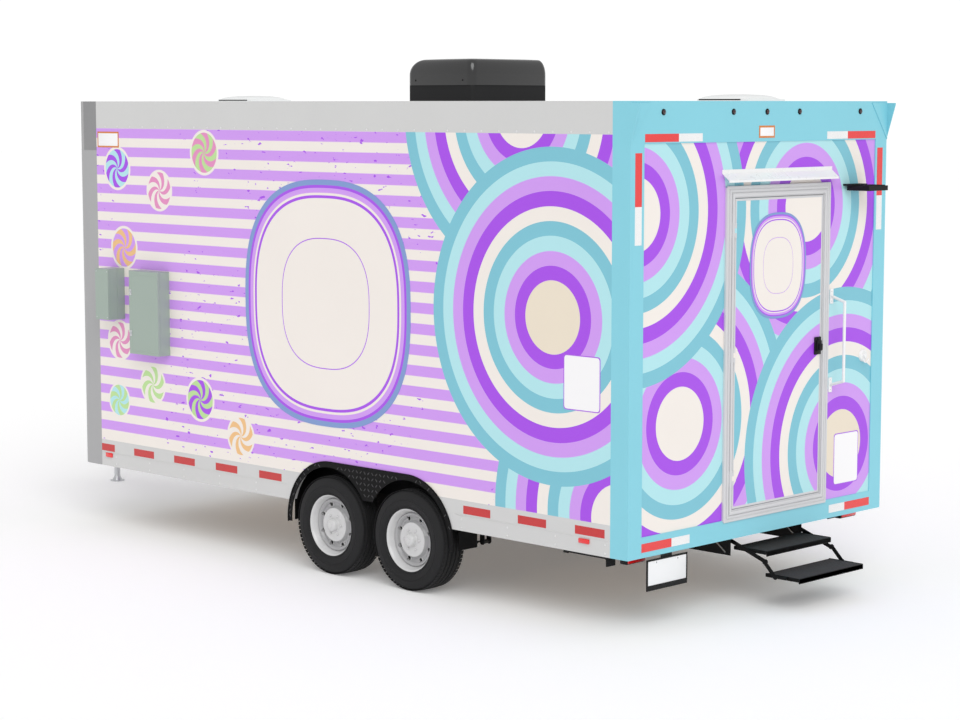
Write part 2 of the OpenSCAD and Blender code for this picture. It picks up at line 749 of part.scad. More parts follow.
module lower_step() color("#222222") placed() translate([0, -step_off, 0]) {
    tread(lower_front, lower_tread_z);
    for (side = [-1, 1]) mirror([0, side < 0 ? 1 : 0, 0]) {
        difference() {
            bar_xz(step_b, [lower_back - 90, lower_tread_z - 8], 16, outer_arm_y, outer_arm_y + arm_t);
            translate([step_b[0], 0, step_b[1]]) rotate([90, 0, 0])
                cylinder(r = pin_r + fit, h = 3 * body_w, center = true);
        }
        block([lower_front + 90, tread_w / 2, lower_tread_z - tread_t],
              [lower_back - 80, outer_arm_y + arm_t, lower_tread_z]);
    }
}

// ---- Jacks ----

module jack_tube() color("dimgray") placed() {
    difference() {
        union() {
            translate([jack_x, 0, rail_z - 60]) cylinder(r = jack_r, h = 560);
            translate([jack_x, 0, rail_z + 112]) cylinder(r = 60, h = 10);
            translate([jack_x, 0, rail_z + 500]) cylinder(r = jack_r + 8, h = 60);
        }
        translate([jack_x, 0, rail_z - 60 - past]) cylinder(r = leg_r + fit, h = 520);
    }
    // Crank arm and knob
    rod([jack_x, 0, rail_z + 560], [jack_x, 0, rail_z + 580], 9);
    rod([jack_x, 0, rail_z + 580], [jack_x - 150, 0, rail_z + 580], 8);
    rod([jack_x - 145, 0, rail_z + 580], [jack_x - 145, 0, rail_z + 650], 14);
}

module jack_leg() color("silver") placed() {
    translate([jack_x, 0, 0]) {
        cylinder(r = 60, h = 8);
        cylinder(r1 = 45, r2 = leg_r, h = 45);
        cylinder(r = leg_r, h = rail_z + 50);
    }
}

stab_x = 620;
stab_l = 345;
stab_z = 425;
stab_y = 1130;

module stabiliser() {
    difference() {
        bar_xz([stab_x, stab_z], [stab_x - stab_l + 22, stab_z], 22, stab_y - 20, stab_y + 20);
        translate([stab_x, 0, stab_z]) rotate([90, 0, 0])
            cylinder(r = pin_r + fit, h = 3 * body_w, center = true);
    }
    block([stab_x - stab_l, stab_y - 40, stab_z - 60], [stab_x - stab_l + 8, stab_y + 40, stab_z + 20]);
}

module stabiliser_left() color("#222222") placed() stabiliser();
module stabiliser_right() color("#222222") placed() mirror([0, 1, 0]) stabiliser();

// ---- Fittings ----

power_x = 4380;
meter_x = 4914;
power_top = 1955;
door_lid_t = 18;
power_hinge = [power_x + power_w + hinge_r, half_w + power_out - door_lid_t, power_top - power_h / 2];

module power_boxes() color("#a5b5aa") placed() {
    difference() {
        block([power_x, half_w, power_top - power_h],
              [power_x + power_w, half_w + power_out - door_lid_t - 1, power_top]);
        block([power_x + 5, half_w + 5, power_top - power_h + 5],
              [power_x + power_w - 5, half_w + power_out, power_top - 5]);
    }
    block([meter_x, half_w, power_top - meter_h], [meter_x + meter_w, half_w + meter_out, power_top]);
    translate(power_hinge) rotate([0, 0, 180]) hinge_fixed(power_h - 200, 17);
}

module power_box_door() color("#a5b5aa") placed() {
    block([power_x, half_w + power_out - door_lid_t, power_top - power_h],
          [power_x + power_w, half_w + power_out, power_top]);
    translate(power_hinge) rotate([0, 0, 180]) hinge_moving(power_h - 200, 17);
}

module air_conditioner() color("#222222") placed() translate([ac_x, -ac_w / 2, deck_z]) {
    cube([ac_l, ac_w, 120]);
    translate([0, ac_w, 0]) rotate([90, 0, 0]) linear_extrude(ac_w)
        polygon([[0, 0], [ac_l, 0], [ac_l, ac_h * 0.72], [ac_l - 30, ac_h * 0.92],
                 [ac_l - 110, ac_h + 5], [0, ac_h + 5]]);
}

vent_rim = 18;
vent_hinge_len = 240;

// Places a vent's hinge on its front edge, with the moving leaf up the lid
module on_vent(at) {
    translate([at[0] + vent_w / 2 + hinge_r, at[1], deck_z + vent_rim]) rotate([90, 180, 0]) children();
}

module roof_vents() color("white") placed()
    for (at = vents) {
        translate([at[0], at[1], deck_z]) difference() {
            translate([-vent_w / 2, -vent_w / 2, 0]) cube([vent_w, vent_w, vent_rim]);
            translate([-vent_hole / 2, -vent_hole / 2, -past]) cube([vent_hole, vent_hole, vent_rim + 2 * past]);
        }
        on_vent(at) hinge_fixed(vent_hinge_len, 17);
    }

module vent_lid(at) {
    translate([at[0] - vent_w / 2, at[1] - vent_w / 2, deck_z + vent_rim + fit])
        cube([vent_w, vent_w, vent_h - vent_rim]);
    on_vent(at) hinge_moving(vent_hinge_len, 25);
}

module front_vent_lid() color("white") placed() vent_lid(vents[1]);
module rear_vent_lid() color("white") placed() vent_lid(vents[0]);

module tail_lights() color("red") placed()
    for (side = [-1, 1])
        block([100, side * 1090 - 90, 400], [165, side * 1090 + 90, skirt_z]);

module licence_plate() color("white") placed() {
    block([0, 737, 245], [4, 1120, 437]);
    block([4, 880, 400], [10, 980, skirt_z]);
}

chassis_frame();
coupler();
floor_deck();
left_wall();
right_wall();
front_wall();
rear_wall();
rear_frame();
roof_panel();
top_rails();
bottom_rails();
front_corner_posts();
rear_door();
door_frame();
door_handle();
drip_hood();
grab_handle();
floodlight();
serving_hatch();
serving_window();
serving_glass();
serving_shelf();
fenders();
front_axle();
rear_axle();
leaf_springs();
spring_hangers();
tyre_front_left();
tyre_front_right();
tyre_rear_left();
tyre_rear_right();
rim_front_left();
rim_front_right();
rim_rear_left();
rim_rear_right();
step_mount();
upper_step();
lower_step();
jack_tube();
jack_leg();
stabiliser_mounts();
stabiliser_left();
stabiliser_right();
power_boxes();
power_box_door();
air_conditioner();
roof_vents();
front_vent_lid();
rear_vent_lid();
tail_lights();
licence_plate();
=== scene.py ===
import json
import math
import bmesh
import bpy
from mathutils import Matrix, Vector

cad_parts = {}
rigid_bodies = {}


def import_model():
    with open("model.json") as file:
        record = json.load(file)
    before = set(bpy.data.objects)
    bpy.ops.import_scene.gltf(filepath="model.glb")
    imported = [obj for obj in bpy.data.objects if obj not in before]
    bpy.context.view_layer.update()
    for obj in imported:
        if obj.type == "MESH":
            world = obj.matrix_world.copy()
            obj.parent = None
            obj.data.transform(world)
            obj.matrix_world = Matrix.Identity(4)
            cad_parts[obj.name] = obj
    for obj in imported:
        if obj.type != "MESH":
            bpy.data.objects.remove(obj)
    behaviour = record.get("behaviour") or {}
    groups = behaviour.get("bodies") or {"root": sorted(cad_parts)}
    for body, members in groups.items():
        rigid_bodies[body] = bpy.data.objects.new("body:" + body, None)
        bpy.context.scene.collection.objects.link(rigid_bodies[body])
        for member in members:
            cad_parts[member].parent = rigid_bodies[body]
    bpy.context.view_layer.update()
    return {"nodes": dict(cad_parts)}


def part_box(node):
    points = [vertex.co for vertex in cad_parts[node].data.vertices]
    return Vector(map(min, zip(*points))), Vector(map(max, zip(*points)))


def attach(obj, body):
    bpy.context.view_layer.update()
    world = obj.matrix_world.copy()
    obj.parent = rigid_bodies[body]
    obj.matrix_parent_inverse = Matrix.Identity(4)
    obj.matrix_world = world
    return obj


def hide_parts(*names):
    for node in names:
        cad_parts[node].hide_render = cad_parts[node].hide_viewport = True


for leftover in list(bpy.data.objects):
    bpy.data.objects.remove(leftover)
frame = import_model()

# ---- Studio ----
# A pale floor without an edge, an even white sky that comes in from all sides, and one
# soft high lamp over the left rear corner. The camera stands well back behind that
# corner, a little over head height, with a long lens.
scene = bpy.context.scene
lens = bpy.data.cameras.new("studio_camera")
lens.lens = 85.76
lens.sensor_width = 36.0
camera = bpy.data.objects.new("studio_camera", lens)
camera.location = (-12.1435, 11.390, 3.165)
camera.rotation_euler = (math.radians(90 - 6.402), 0, math.radians(-90 - 45.431))
scene.collection.objects.link(camera)
scene.camera = camera

lamp = bpy.data.lights.new("soft_lamp", "SUN")
lamp.energy = 1.05
lamp.angle = math.radians(40)
lamp_stand = bpy.data.objects.new("soft_lamp", lamp)
lamp_stand.rotation_euler = Vector((-0.75, 0.55, 0.75)).to_track_quat("Z", "Y").to_euler()
scene.collection.objects.link(lamp_stand)

world = bpy.data.worlds.new("white_sky")
world.use_nodes = True
sky = world.node_tree.nodes["Background"]
sky.inputs["Color"].default_value = (1, 1, 1, 1)
# Plain white behind the trailer, a little dimmer as light on it
seen = world.node_tree.nodes.new("ShaderNodeLightPath")
strength = world.node_tree.nodes.new("ShaderNodeMapRange")
strength.inputs["To Min"].default_value = 0.71
strength.inputs["To Max"].default_value = 1.05
world.node_tree.links.new(seen.outputs["Is Camera Ray"], strength.inputs["Value"])
world.node_tree.links.new(strength.outputs["Result"], sky.inputs["Strength"])
scene.world = world
scene.view_settings.view_transform = "Standard"
scene.view_settings.look = "None"


class Wire:
    """A node's output that can stand in an expression: each operator adds a Math node."""

    def __init__(self, finish, socket):
        self.finish = finish
        self.socket = socket

    def math(self, operation, *terms):
        return self.finish.add("ShaderNodeMath", {"operation": operation}, dict(enumerate(terms)))

    def __add__(self, other):
        return self.math("ADD", self, other)

    def __sub__(self, other):
        return self.math("SUBTRACT", self, other)

    def __rsub__(self, other):
        return self.math("SUBTRACT", other, self)

    def __mul__(self, other):
        return self.math("MULTIPLY", self, other)

    def __truediv__(self, other):
        return self.math("DIVIDE", self, other)

    def __mod__(self, other):
        return self.math("FLOORED_MODULO", self, other)

    def __pow__(self, other):
        return self.math("POWER", self, other)

    def __lt__(self, other):
        return self.math("LESS_THAN", self, other)

    def __gt__(self, other):
        return self.math("GREATER_THAN", self, other)

    def __abs__(self):
        return self.math("ABSOLUTE", self)

    __radd__ = __add__
    __rmul__ = __mul__


class Finish:
    """One material in the making. Constants go on the shader's own sockets."""

    def __init__(self, name, **constants):
        self.material = bpy.data.materials.new(name)
        self.material.use_nodes = True
        self.tree = self.material.node_tree
        self.shader = self.tree.nodes["Principled BSDF"]
        for name, value in constants.items():
            socket = name.replace("_", " ").title().replace("Ior", "IOR")
            self.shader.inputs[socket].default_value = value
        self.place = self.add("ShaderNodeTexCoord", output="Object")

    def add(self, kind, settings=None, sockets=None, output=0):
        """A node of that kind: its settings first, then what its sockets hold."""
        node = self.tree.nodes.new(kind)
        for name, value in (settings or {}).items():
            if name == "stops":
                ramp = node.color_ramp
                while len(ramp.elements) < len(value):
                    ramp.elements.new(1.0)
                for element, (where, colour) in zip(ramp.elements, value):
                    element.position = where
                    element.color = colour
                ramp.interpolation = "CONSTANT"
            else:
                setattr(node, name, value)
        for name, value in (sockets or {}).items():
            if isinstance(value, Wire):
                self.tree.links.new(value.socket, node.inputs[name])
            else:
                node.inputs[name].default_value = value
        return Wire(self, node.outputs[output])

    def axes(self):
        """The X, Y and Z of the surface, in metres."""
        return [self.add("ShaderNodeSeparateXYZ", sockets={0: self.place}, output=n) for n in range(3)]

    def noise(self, scale, detail=2.0, stretch=(1, 1, 1)):
        spread = self.add("ShaderNodeMapping", sockets={"Vector": self.place, "Scale": stretch})
        sockets = {"Vector": spread, "Scale": scale, "Detail": detail}
        return self.add("ShaderNodeTexNoise", sockets=sockets)

    def mix(self, factor, below, above):
        return self.add("ShaderNodeMix", {"data_type": "RGBA"}, {0: factor, 6: below, 7: above}, 2)

    def paint(self, colour):
        plain = self.add("ShaderNodeRGB")
        plain.socket.default_value = colour
        return plain

    def shade(self, colour, amount):
        """The colour, lighter or darker by the amount, a number around 1."""
        grey = self.add("ShaderNodeCombineXYZ", sockets={0: amount, 1: amount, 2: amount})
        return self.add("ShaderNodeVectorMath", {"operation": "MULTIPLY"}, {0: colour, 1: grey})

    def done(self, colour, roughness, height=None):
        """Links what varies and gives the material. The height is in millimetres."""
        self.tree.links.new(colour.socket, self.shader.inputs["Base Color"])
        self.tree.links.new(roughness.socket, self.shader.inputs["Roughness"])
        if height is not None:
            bump = self.add("ShaderNodeBump", sockets={"Distance": 0.001, "Height": height})
            self.tree.links.new(bump.socket, self.shader.inputs["Normal"])
        return self.material


def tint(red, green, blue):
    """A display colour, 0 to 255, as the linear colour a shader takes."""
    linear = [(c / 255 + 0.055) ** 2.4 / 1.055 ** 2.4 if c > 10 else c / 3294.6
              for c in (red, green, blue)]
    return (*linear, 1.0)


def coating(name, colour, rough=0.4, mottle=0.04, peel=0.05, peel_scale=180.0, **constants):
    """A painted, moulded or rolled surface: faint mottling, uneven gloss and a fine skin."""
    finish = Finish(name, **constants)
    cloud = finish.noise(2.3, 4.0) - 0.5
    skin = finish.noise(peel_scale, 3.0)
    body = finish.shade(finish.paint(colour), cloud * (2 * mottle) + 1.0)
    gloss = finish.noise(14.0, 3.0) - 0.5
    return finish.done(body, gloss * 0.08 + rough, skin * peel)


floor_paint = coating("studio_floor", tint(250, 250, 250), 0.9, 0.0, 0.02,
                      emission_color=(1, 1, 1, 1), emission_strength=0.14)
floor_half = 120.0
floor_corners = [(x * floor_half, y * floor_half, 0) for x, y in ((-1, -1), (1, -1), (1, 1), (-1, 1))]
floor_mesh = bpy.data.meshes.new("studio_floor")
floor_mesh.from_pydata(floor_corners, [], [(0, 1, 2, 3)])
floor_mesh.materials.append(floor_paint)
floor = bpy.data.objects.new("studio_floor", floor_mesh)
scene.collection.objects.link(floor)

# ---- Printed wrap ----
# The walls and the door wear a printed vinyl film: lilac and cream stripes with ink
# specks towards the front, and overlapping targets of nine flat rings round the rear
# corner. It is one print, so the stripes and rings run on over hatch and door. Inside,
# the walls have a plain white liner.
nodes = frame["nodes"]
left_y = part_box("left_wall")[1].y
right_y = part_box("right_wall")[0].y
middle_y = (left_y + right_y) / 2
half_w = (left_y - right_y) / 2
# The rear posts' faces stand a little behind the rear wall
post_step = 0.006
rear_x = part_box("rear_wall")[0].x - post_step
front_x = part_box("front_wall")[1].x
roof_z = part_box("top_rails")[1].z

LILAC = tint(206, 152, 239)
CREAM = tint(240, 233, 226)
PURPLE = tint(165, 68, 230)
AQUA = tint(177, 227, 233)
TEAL = tint(121, 193, 210)
BEIGE = tint(233, 221, 201)
LINER = tint(226, 228, 229)
PINK = tint(226, 140, 190)
LIME = tint(186, 222, 150)
ORANGE = tint(238, 190, 130)
ring_core = 0.2225
ring_step = 0.09
ring_colours = [PURPLE, LILAC, AQUA, TEAL, CREAM, PURPLE, LILAC, AQUA, TEAL]
ring_reach = ring_core + ring_step * len(ring_colours)
stripe_pitch = 0.136
stripe_h = 0.070
stripe_top = 2.982
stripe_end = 0.70
skin_depth = 0.015


def target(finish, across, up, centre, core, below):
    """One target of rings over what is below it."""
    far = ((across - centre[0]) ** 2 + (up - centre[1]) ** 2) ** 0.5
    stops = [(0.0, core)]
    stops += [((ring_core + ring_step * n) / ring_reach, c) for n, c in enumerate(ring_colours)]
    rings = finish.add("ShaderNodeValToRGB", {"stops": stops}, {0: far / ring_reach})
    return finish.mix(far < ring_reach, below, rings)


def swirl(finish, across, up, centre, radius, pair, below):
    """A plain round sweet: a two-colour pinwheel inside a pale rim."""
    right = across - centre[0]
    high = up - centre[1]
    far = (right ** 2 + high ** 2) ** 0.5
    angle = finish.add("ShaderNodeMath", {"operation": "ARCTAN2"}, {0: high, 1: right})
    arms = 6
    twist = 9.0
    turn = (angle * (arms / math.tau) + far * twist) % 1.0
    wheel = finish.mix(turn < 0.5, *pair)
    rim = finish.mix(far > radius * 0.88, wheel, CREAM)
    return finish.mix(far < radius, below, rim)


def film(finish, colour):
    """The vinyl's own look: a faint mottle, uneven gloss and a skin of fine texture."""
    body = finish.shade(colour, (finish.noise(1.7, 3.0) - 0.5) * 0.05 + 1.0)
    skin = finish.noise(260.0, 2.0) * 0.03 + finish.noise(3.0, 2.0) * 0.5
    return finish.done(body, (finish.noise(22.0, 3.0) - 0.5) * 0.14 + 0.36, skin)


def stripes(finish, up):
    """Level stripes, with a scatter of ink specks that follow them."""
    phase = (stripe_top - up) % stripe_pitch
    bands = finish.mix((phase < stripe_h) * (up > stripe_end), CREAM, LILAC)
    grain = finish.noise(26.0, 4.0, (0.6, 1, 1.5))
    patch = finish.noise(1.1, 2.0)
    specks = (grain > 0.665) * (patch > 0.47)
    return finish.mix(specks, bands, PURPLE)


def side_print():
    """Stripes, three targets at the rear end and nine sweets at the front end."""
    finish = Finish("side_wrap", coat_weight=0.1, coat_roughness=0.2)
    x, y, z = finish.axes()
    along = x - rear_x
    colour = stripes(finish, z)
    for centre, core in (((0.878, 3.12), CREAM), ((0.066, 0.686), CREAM), ((0.616, 1.874), BEIGE)):
        colour = target(finish, along, z, centre, core, colour)
    sweets = [((4.98, 2.69), 0.16, (PURPLE, AQUA)), ((4.48, 2.54), 0.15, (PINK, CREAM)),
              ((3.96, 2.82), 0.16, (PINK, LIME)), ((4.91, 2.11), 0.16, (LILAC, ORANGE)),
              ((4.98, 1.42), 0.15, (PINK, CREAM)), ((4.59, 1.12), 0.15, (LIME, CREAM)),
              ((5.00, 0.97), 0.13, (AQUA, LIME)), ((4.04, 1.06), 0.16, (PURPLE, LIME)),
              ((3.59, 0.84), 0.15, (ORANGE, CREAM))]
    for centre, radius, pair in sweets:
        colour = swirl(finish, along, z, centre, radius, pair, colour)
    inside = abs(y - middle_y) < half_w - skin_depth
    return film(finish, finish.mix(inside, colour, LINER))


def rear_print():
    """Four targets, each over the one before."""
    finish = Finish("rear_wrap", coat_weight=0.1, coat_roughness=0.2)
    x, y, z = finish.axes()
    across = y - middle_y
    colour = AQUA
    for centre, core in (((-0.42, 2.513), CREAM), ((0.813, 1.235), CREAM), ((1.24, 2.512), CREAM),
                         ((-0.84, 0.94), BEIGE)):
        colour = target(finish, across, z, centre, core, colour)
    inside = x > rear_x + post_step + skin_depth
    return film(finish, finish.mix(inside, colour, LINER))


def front_print():
    """Stripes alone."""
    finish = Finish("front_wrap", coat_weight=0.1, coat_roughness=0.2)
    x, _, z = finish.axes()
    inside = x < front_x - skin_depth
    return film(finish, finish.mix(inside, stripes(finish, z), LINER))


def wear(material, *names):
    """Puts a material on CAD nodes."""
    for name in names:
        for place in nodes[name].material_slots:
            place.material = material


wear(side_print(), "left_wall", "right_wall", "serving_hatch")
wear(rear_print(), "rear_wall", "rear_door")
wear(front_print(), "front_wall")

# ---- Frame, rails and posts ----
# Folded sheet metal: the teal rear frame, the pale grey top and bottom rails and the
# grey front corner posts. Each is painted. Domed rivets run along the side rails, and a
# pressed bead along the bottom rails.
def spot(x, y, z):
    """A place given from the rear face, the middle and the ground."""
    return Vector((rear_x + x, middle_y + y, z))


class Face:
    """A flat side of the trailer: two directions along it and one out of it."""

    def __init__(self, origin, across, up, out):
        self.origin, self.across, self.up, self.out = (Vector(v) for v in (origin, across, up, out))

    def at(self, a, b, h=0.0):
        return self.origin + a * self.across + b * self.up + h * self.out

    def turned(self, angle=0.0):
        """The Euler turn that stands a thing's Z out of the face, spun by the angle."""
        side = self.across * math.cos(angle) + self.up * math.sin(angle)
        return Matrix((side, self.out.cross(side), self.out)).transposed().to_euler()


rear_face = Face((rear_x, middle_y, 0), (0, 1, 0), (0, 0, 1), (-1, 0, 0))
left_face = Face((rear_x, left_y, 0), (1, 0, 0), (0, 0, 1), (0, 1, 0))
right_face = Face((rear_x, right_y, 0), (1, 0, 0), (0, 0, 1), (0, -1, 0))
front_face = Face((front_x, middle_y, 0), (0, 1, 0), (0, 0, 1), (1, 0, 0))
side_faces = (left_face, right_face)
roof_face = Face((rear_x, middle_y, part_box("roof_panel")[1].z), (1, 0, 0), (0, 1, 0), (0, 0, 1))
body_l = front_x - rear_x


class Shape:
    """Closed shells gathered into one piece."""

    def __init__(self):
        self.mesh = bmesh.new()

    def brick(self, corner, other, bevel=0.0):
        low = [min(pair) for pair in zip(corner, other)]
        high = [max(pair) for pair in zip(corner, other)]
        made = bmesh.ops.create_cube(self.mesh, size=1.0)["verts"]
        for vert in made:
            vert.co = [lo + (c + 0.5) * (hi - lo) for c, lo, hi in zip(vert.co, low, high)]
        if bevel:
            edges = list(dict.fromkeys(edge for vert in made for edge in vert.link_edges))
            bmesh.ops.bevel(self.mesh, geom=edges, offset=bevel, segments=2, profile=0.5, affect="EDGES")

    def slab(self, face, low, high, h0, h1, bevel=0.0):
        self.brick(face.at(*low, h0), face.at(*high, h1), bevel)

    def skin(self, rings, closed=False):
        """Faces between rings of places. A ring of one place closes to a point."""
        rows = [[self.mesh.verts.new(place) for place in ring] for ring in rings]
        count = max(len(row) for row in rows)
        for near, far in zip(rows, rows[1:] + (rows[:1] if closed else [])):
            for n in range(count):
                m = (n + 1) % count
                corners = [near[n % len(near)], near[m % len(near)], far[m % len(far)], far[n % len(far)]]
                # A point at one end leaves a triangle
                corners = list(dict.fromkeys(corners))
                if len(corners) > 2:
                    self.mesh.faces.new(corners)
        if not closed:
            for row in (rows[0], rows[-1]):
                if len(row) > 2:
                    self.mesh.faces.new(row)

    def turn(self, middle, axis, outline, sides=48, closed=False):
        """A turned shape: the outline's (radius, distance along the axis) all round the axis."""
        axis = Vector(axis).normalized()
        side = axis.orthogonal().normalized()
        other = axis.cross(side)
        rings = []
        for radius, along in outline:
            centre = Vector(middle) + axis * along
            if radius == 0:
                rings.append([centre])
                continue
            angles = [math.tau * n / sides for n in range(sides)]
            rings.append([centre + (side * math.cos(a) + other * math.sin(a)) * radius for a in angles])
        self.skin(rings, closed)

    def rod(self, path, radius, sides=10):
        """A round bar along a path, with flat ends."""
        path = [Vector(place) for place in path]
        side = (path[1] - path[0]).orthogonal().normalized()
        rings = []
        for n, place in enumerate(path):
            along = (path[min(n + 1, len(path) - 1)] - path[max(n - 1, 0)]).normalized()
            side = (side - along * side.dot(along)).normalized()
            other = along.cross(side)
            angles = [math.tau * k / sides for k in range(sides)]
            rings.append([place + (side * math.cos(a) + other * math.sin(a)) * radius for a in angles])
        self.skin(rings)

    def plate(self, face, outline, h0, h1):
        """A flat plate with that outline on the face."""
        self.skin([[face.at(a, b, h) for a, b in outline] for h in (h0, h1)])

    def moulding(self, face, low, high, outline):
        """A mitred frame: the outline's (distance outwards, height) round a rectangle."""
        corners = ((low[0], low[1], -1, -1), (high[0], low[1], 1, -1),
                   (high[0], high[1], 1, 1), (low[0], high[1], -1, 1))
        self.skin([[face.at(a + u * out_a, b + u * out_b, h) for u, h in outline]
                   for a, b, out_a, out_b in corners], closed=True)

    def piece(self, name, material, body="trailer", crease=35):
        bmesh.ops.recalc_face_normals(self.mesh, faces=self.mesh.faces)
        mesh = bpy.data.meshes.new(name)
        self.mesh.to_mesh(mesh)
        self.mesh.free()
        mesh.materials.append(material)
        mesh.shade_smooth()
        mesh.set_sharp_from_angle(angle=math.radians(crease))
        return place_piece(name, mesh, body)


def place_piece(name, mesh, body):
    thing = bpy.data.objects.new(name, mesh)
    scene.collection.objects.link(thing)
    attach(thing, body)
    return thing


def stud_tree():
    """Nodes that stand a dome, or a block, on every point of a mesh, turned as the point says."""
    tree = bpy.data.node_groups.new("studs", "GeometryNodeTree")
    inputs = {}
    for name, kind, value in (("Geometry", "NodeSocketGeometry", None),
                              ("Size", "NodeSocketVector", (1, 1, 1)),
                              ("Block", "NodeSocketBool", False),
                              ("Sides", "NodeSocketInt", 8),
                              ("Material", "NodeSocketMaterial", None)):
        inputs[name] = tree.interface.new_socket(name, in_out="INPUT", socket_type=kind)
        if value is not None:
            inputs[name].default_value = value
    tree.interface.new_socket("Geometry", in_out="OUTPUT", socket_type="NodeSocketGeometry")
    given = tree.nodes.new("NodeGroupInput")
    result = tree.nodes.new("NodeGroupOutput")

    def add(kind, links, **settings):
        node = tree.nodes.new(kind)
        for key, value in settings.items():
            setattr(node, key, value)
        for key, source in links.items():
            if hasattr(source, "is_output"):
                tree.links.new(source, node.inputs[key])
            else:
                node.inputs[key].default_value = source
        return node

    dome = add("GeometryNodeMeshUVSphere",
               {"Segments": given.outputs["Sides"], "Rings": 5, "Radius": 1.0})
    block = add("GeometryNodeMeshCube", {"Size": (2.0, 2.0, 2.0)})
    chosen = add("GeometryNodeSwitch", {"Switch": given.outputs["Block"],
                                        "False": dome.outputs["Mesh"],
                                        "True": block.outputs["Mesh"]}, input_type="GEOMETRY")
    turn = add("GeometryNodeInputNamedAttribute", {"Name": "turn"}, data_type="FLOAT_VECTOR")
    stand = add("FunctionNodeEulerToRotation", {0: turn.outputs["Attribute"]})
    copies = add("GeometryNodeInstanceOnPoints", {"Points": given.outputs["Geometry"],
                                                  "Instance": chosen.outputs["Output"],
                                                  "Rotation": stand.outputs[0],
                                                  "Scale": given.outputs["Size"]})
    real = add("GeometryNodeRealizeInstances", {0: copies.outputs["Instances"]})
    coat = add("GeometryNodeSetMaterial", {"Geometry": real.outputs[0],
                                           "Material": given.outputs["Material"]})
    tree.links.new(coat.outputs[0], result.inputs[0])
    return tree, inputs


studs_tree, studs_inputs = stud_tree()


def studs(name, spots, size, material, body="trailer", block=False, sides=8):
    """Rivets, screws and lugs: a flat dome or a block at each (place, turn), by its half sizes."""
    points = bpy.data.meshes.new(name + "_points")
    points.from_pydata([place for place, _ in spots], [], [])
    turns = points.attributes.new("turn", "FLOAT_VECTOR", "POINT")
    turns.data.foreach_set("vector", [angle for _, turn in spots for angle in turn])
    holder = bpy.data.objects.new(name + "_points", points)
    scene.collection.objects.link(holder)
    modifier = holder.modifiers.new("studs", "NODES")
    modifier.node_group = studs_tree
    for key, value in (("Size", size), ("Block", block), ("Sides", sides), ("Material", material)):
        modifier[studs_inputs[key].identifier] = value
    bpy.context.view_layer.update()
    graph = bpy.context.evaluated_depsgraph_get()
    mesh = bpy.data.meshes.new_from_object(holder.evaluated_get(graph))
    mesh.name = name
    bpy.data.objects.remove(holder)
    mesh.materials.clear()
    mesh.materials.append(material)
    mesh.shade_smooth()
    mesh.set_sharp_from_angle(angle=math.radians(50))
    return place_piece(name, mesh, body)


teal_paint = coating("frame_teal", tint(131, 206, 222), 0.38, 0.025, 0.05, coat_weight=0.2)
rail_paint = coating("rail_grey", tint(207, 207, 206), 0.42, 0.03, 0.05)
post_paint = coating("post_grey", tint(168, 168, 169), 0.42, 0.04, 0.05)
rivet_metal = coating("rivet_metal", tint(226, 226, 226), 0.3, 0.05, 0.02, metallic=0.3)
wear(teal_paint, "rear_frame")
wear(rail_paint, "top_rails", "bottom_rails")
wear(post_paint, "front_corner_posts")

top_rail_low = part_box("left_wall")[1].z
post_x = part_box("left_wall")[0].x - rear_x
rail_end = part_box("left_wall")[1].x - rear_x
arch = tuple(corner.x - rear_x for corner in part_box("fenders"))
bead_z = (0.556, 0.563)
rail_rivet_pitch = 0.406
wall_rivet_pitch = 0.15
wall_rivet_count = 34

bead = Shape()
side_rivets = []
for face in side_faces:
    for low, high in ((post_x + 0.004, arch[0] - 0.012), (arch[1] + 0.012, rail_end - 0.004)):
        bead.slab(face, (low, bead_z[0]), (high, bead_z[1]), -0.002, 0.0025, 0.002)
    for n in range(13):
        x = 0.18 + rail_rivet_pitch * n
        if x < arch[0] - 0.02 or x > arch[1] + 0.02:
            side_rivets += [(face.at(x, z), face.turned()) for z in (0.480, 0.532)]
    for n in range(wall_rivet_count):
        place = face.at(post_x + 0.03 + n * wall_rivet_pitch, top_rail_low + 0.013)
        side_rivets.append((place, face.turned()))
bead.piece("rail_bead", rail_paint)
studs("side_rivets", side_rivets, (0.0075, 0.0075, 0.0035), rivet_metal)

# The cap that closes each front post at the top, a shade darker than the post
cap_paint = coating("post_cap_grey", tint(140, 140, 141), 0.45, 0.04, 0.05)
cap = Shape()
cap_drop = 0.36
for face in side_faces:
    cap.slab(face, (rail_end + 0.001, roof_z - cap_drop), (body_l - 0.101, roof_z - 0.001),
             -0.002, 0.0015, 0.0008)
cap.piece("post_caps", cap_paint)

# ---- Reflective tape and blank stickers ----
# Adhesive film laid on the paint: red and white tape along the rails and round the rear
# frame, plain white stickers with a purple edge, and two small badges edged in orange.
def tape_film(name, colour):
    """Retro-reflective film: a fine honeycomb of cells under a glossy face."""
    finish = Finish(name, coat_weight=0.6, coat_roughness=0.15)
    cells = finish.add("ShaderNodeTexVoronoi", {"feature": "DISTANCE_TO_EDGE"},
                       {"Vector": finish.place, "Scale": 260.0})
    wall = cells < 0.08
    body = finish.shade(finish.paint(colour), 1.0 - wall * 0.12 + (finish.noise(6.0) - 0.5) * 0.08)
    return finish.done(body, wall * 0.2 + 0.3, cells * 0.05)


red_tape = tape_film("red_tape", tint(236, 40, 40))
dark_red_tape = tape_film("dark_red_tape", tint(200, 6, 8))
white_tape = tape_film("white_tape", tint(242, 242, 242))
tape_lift = 0.0006
side_tape_pitch = 0.479
side_tape_l = 0.240
side_red = Shape()
for face in side_faces:
    for start, count in ((0.1835, 3), (3.155, 5)):
        for n in range(count):
            low = start + side_tape_pitch * n
            side_red.slab(face, (low, 0.570), (min(low + side_tape_l, rail_end), 0.623), 0, tape_lift)
side_red.piece("side_reflectors", dark_red_tape)
rear_red = Shape()
rear_white = Shape()
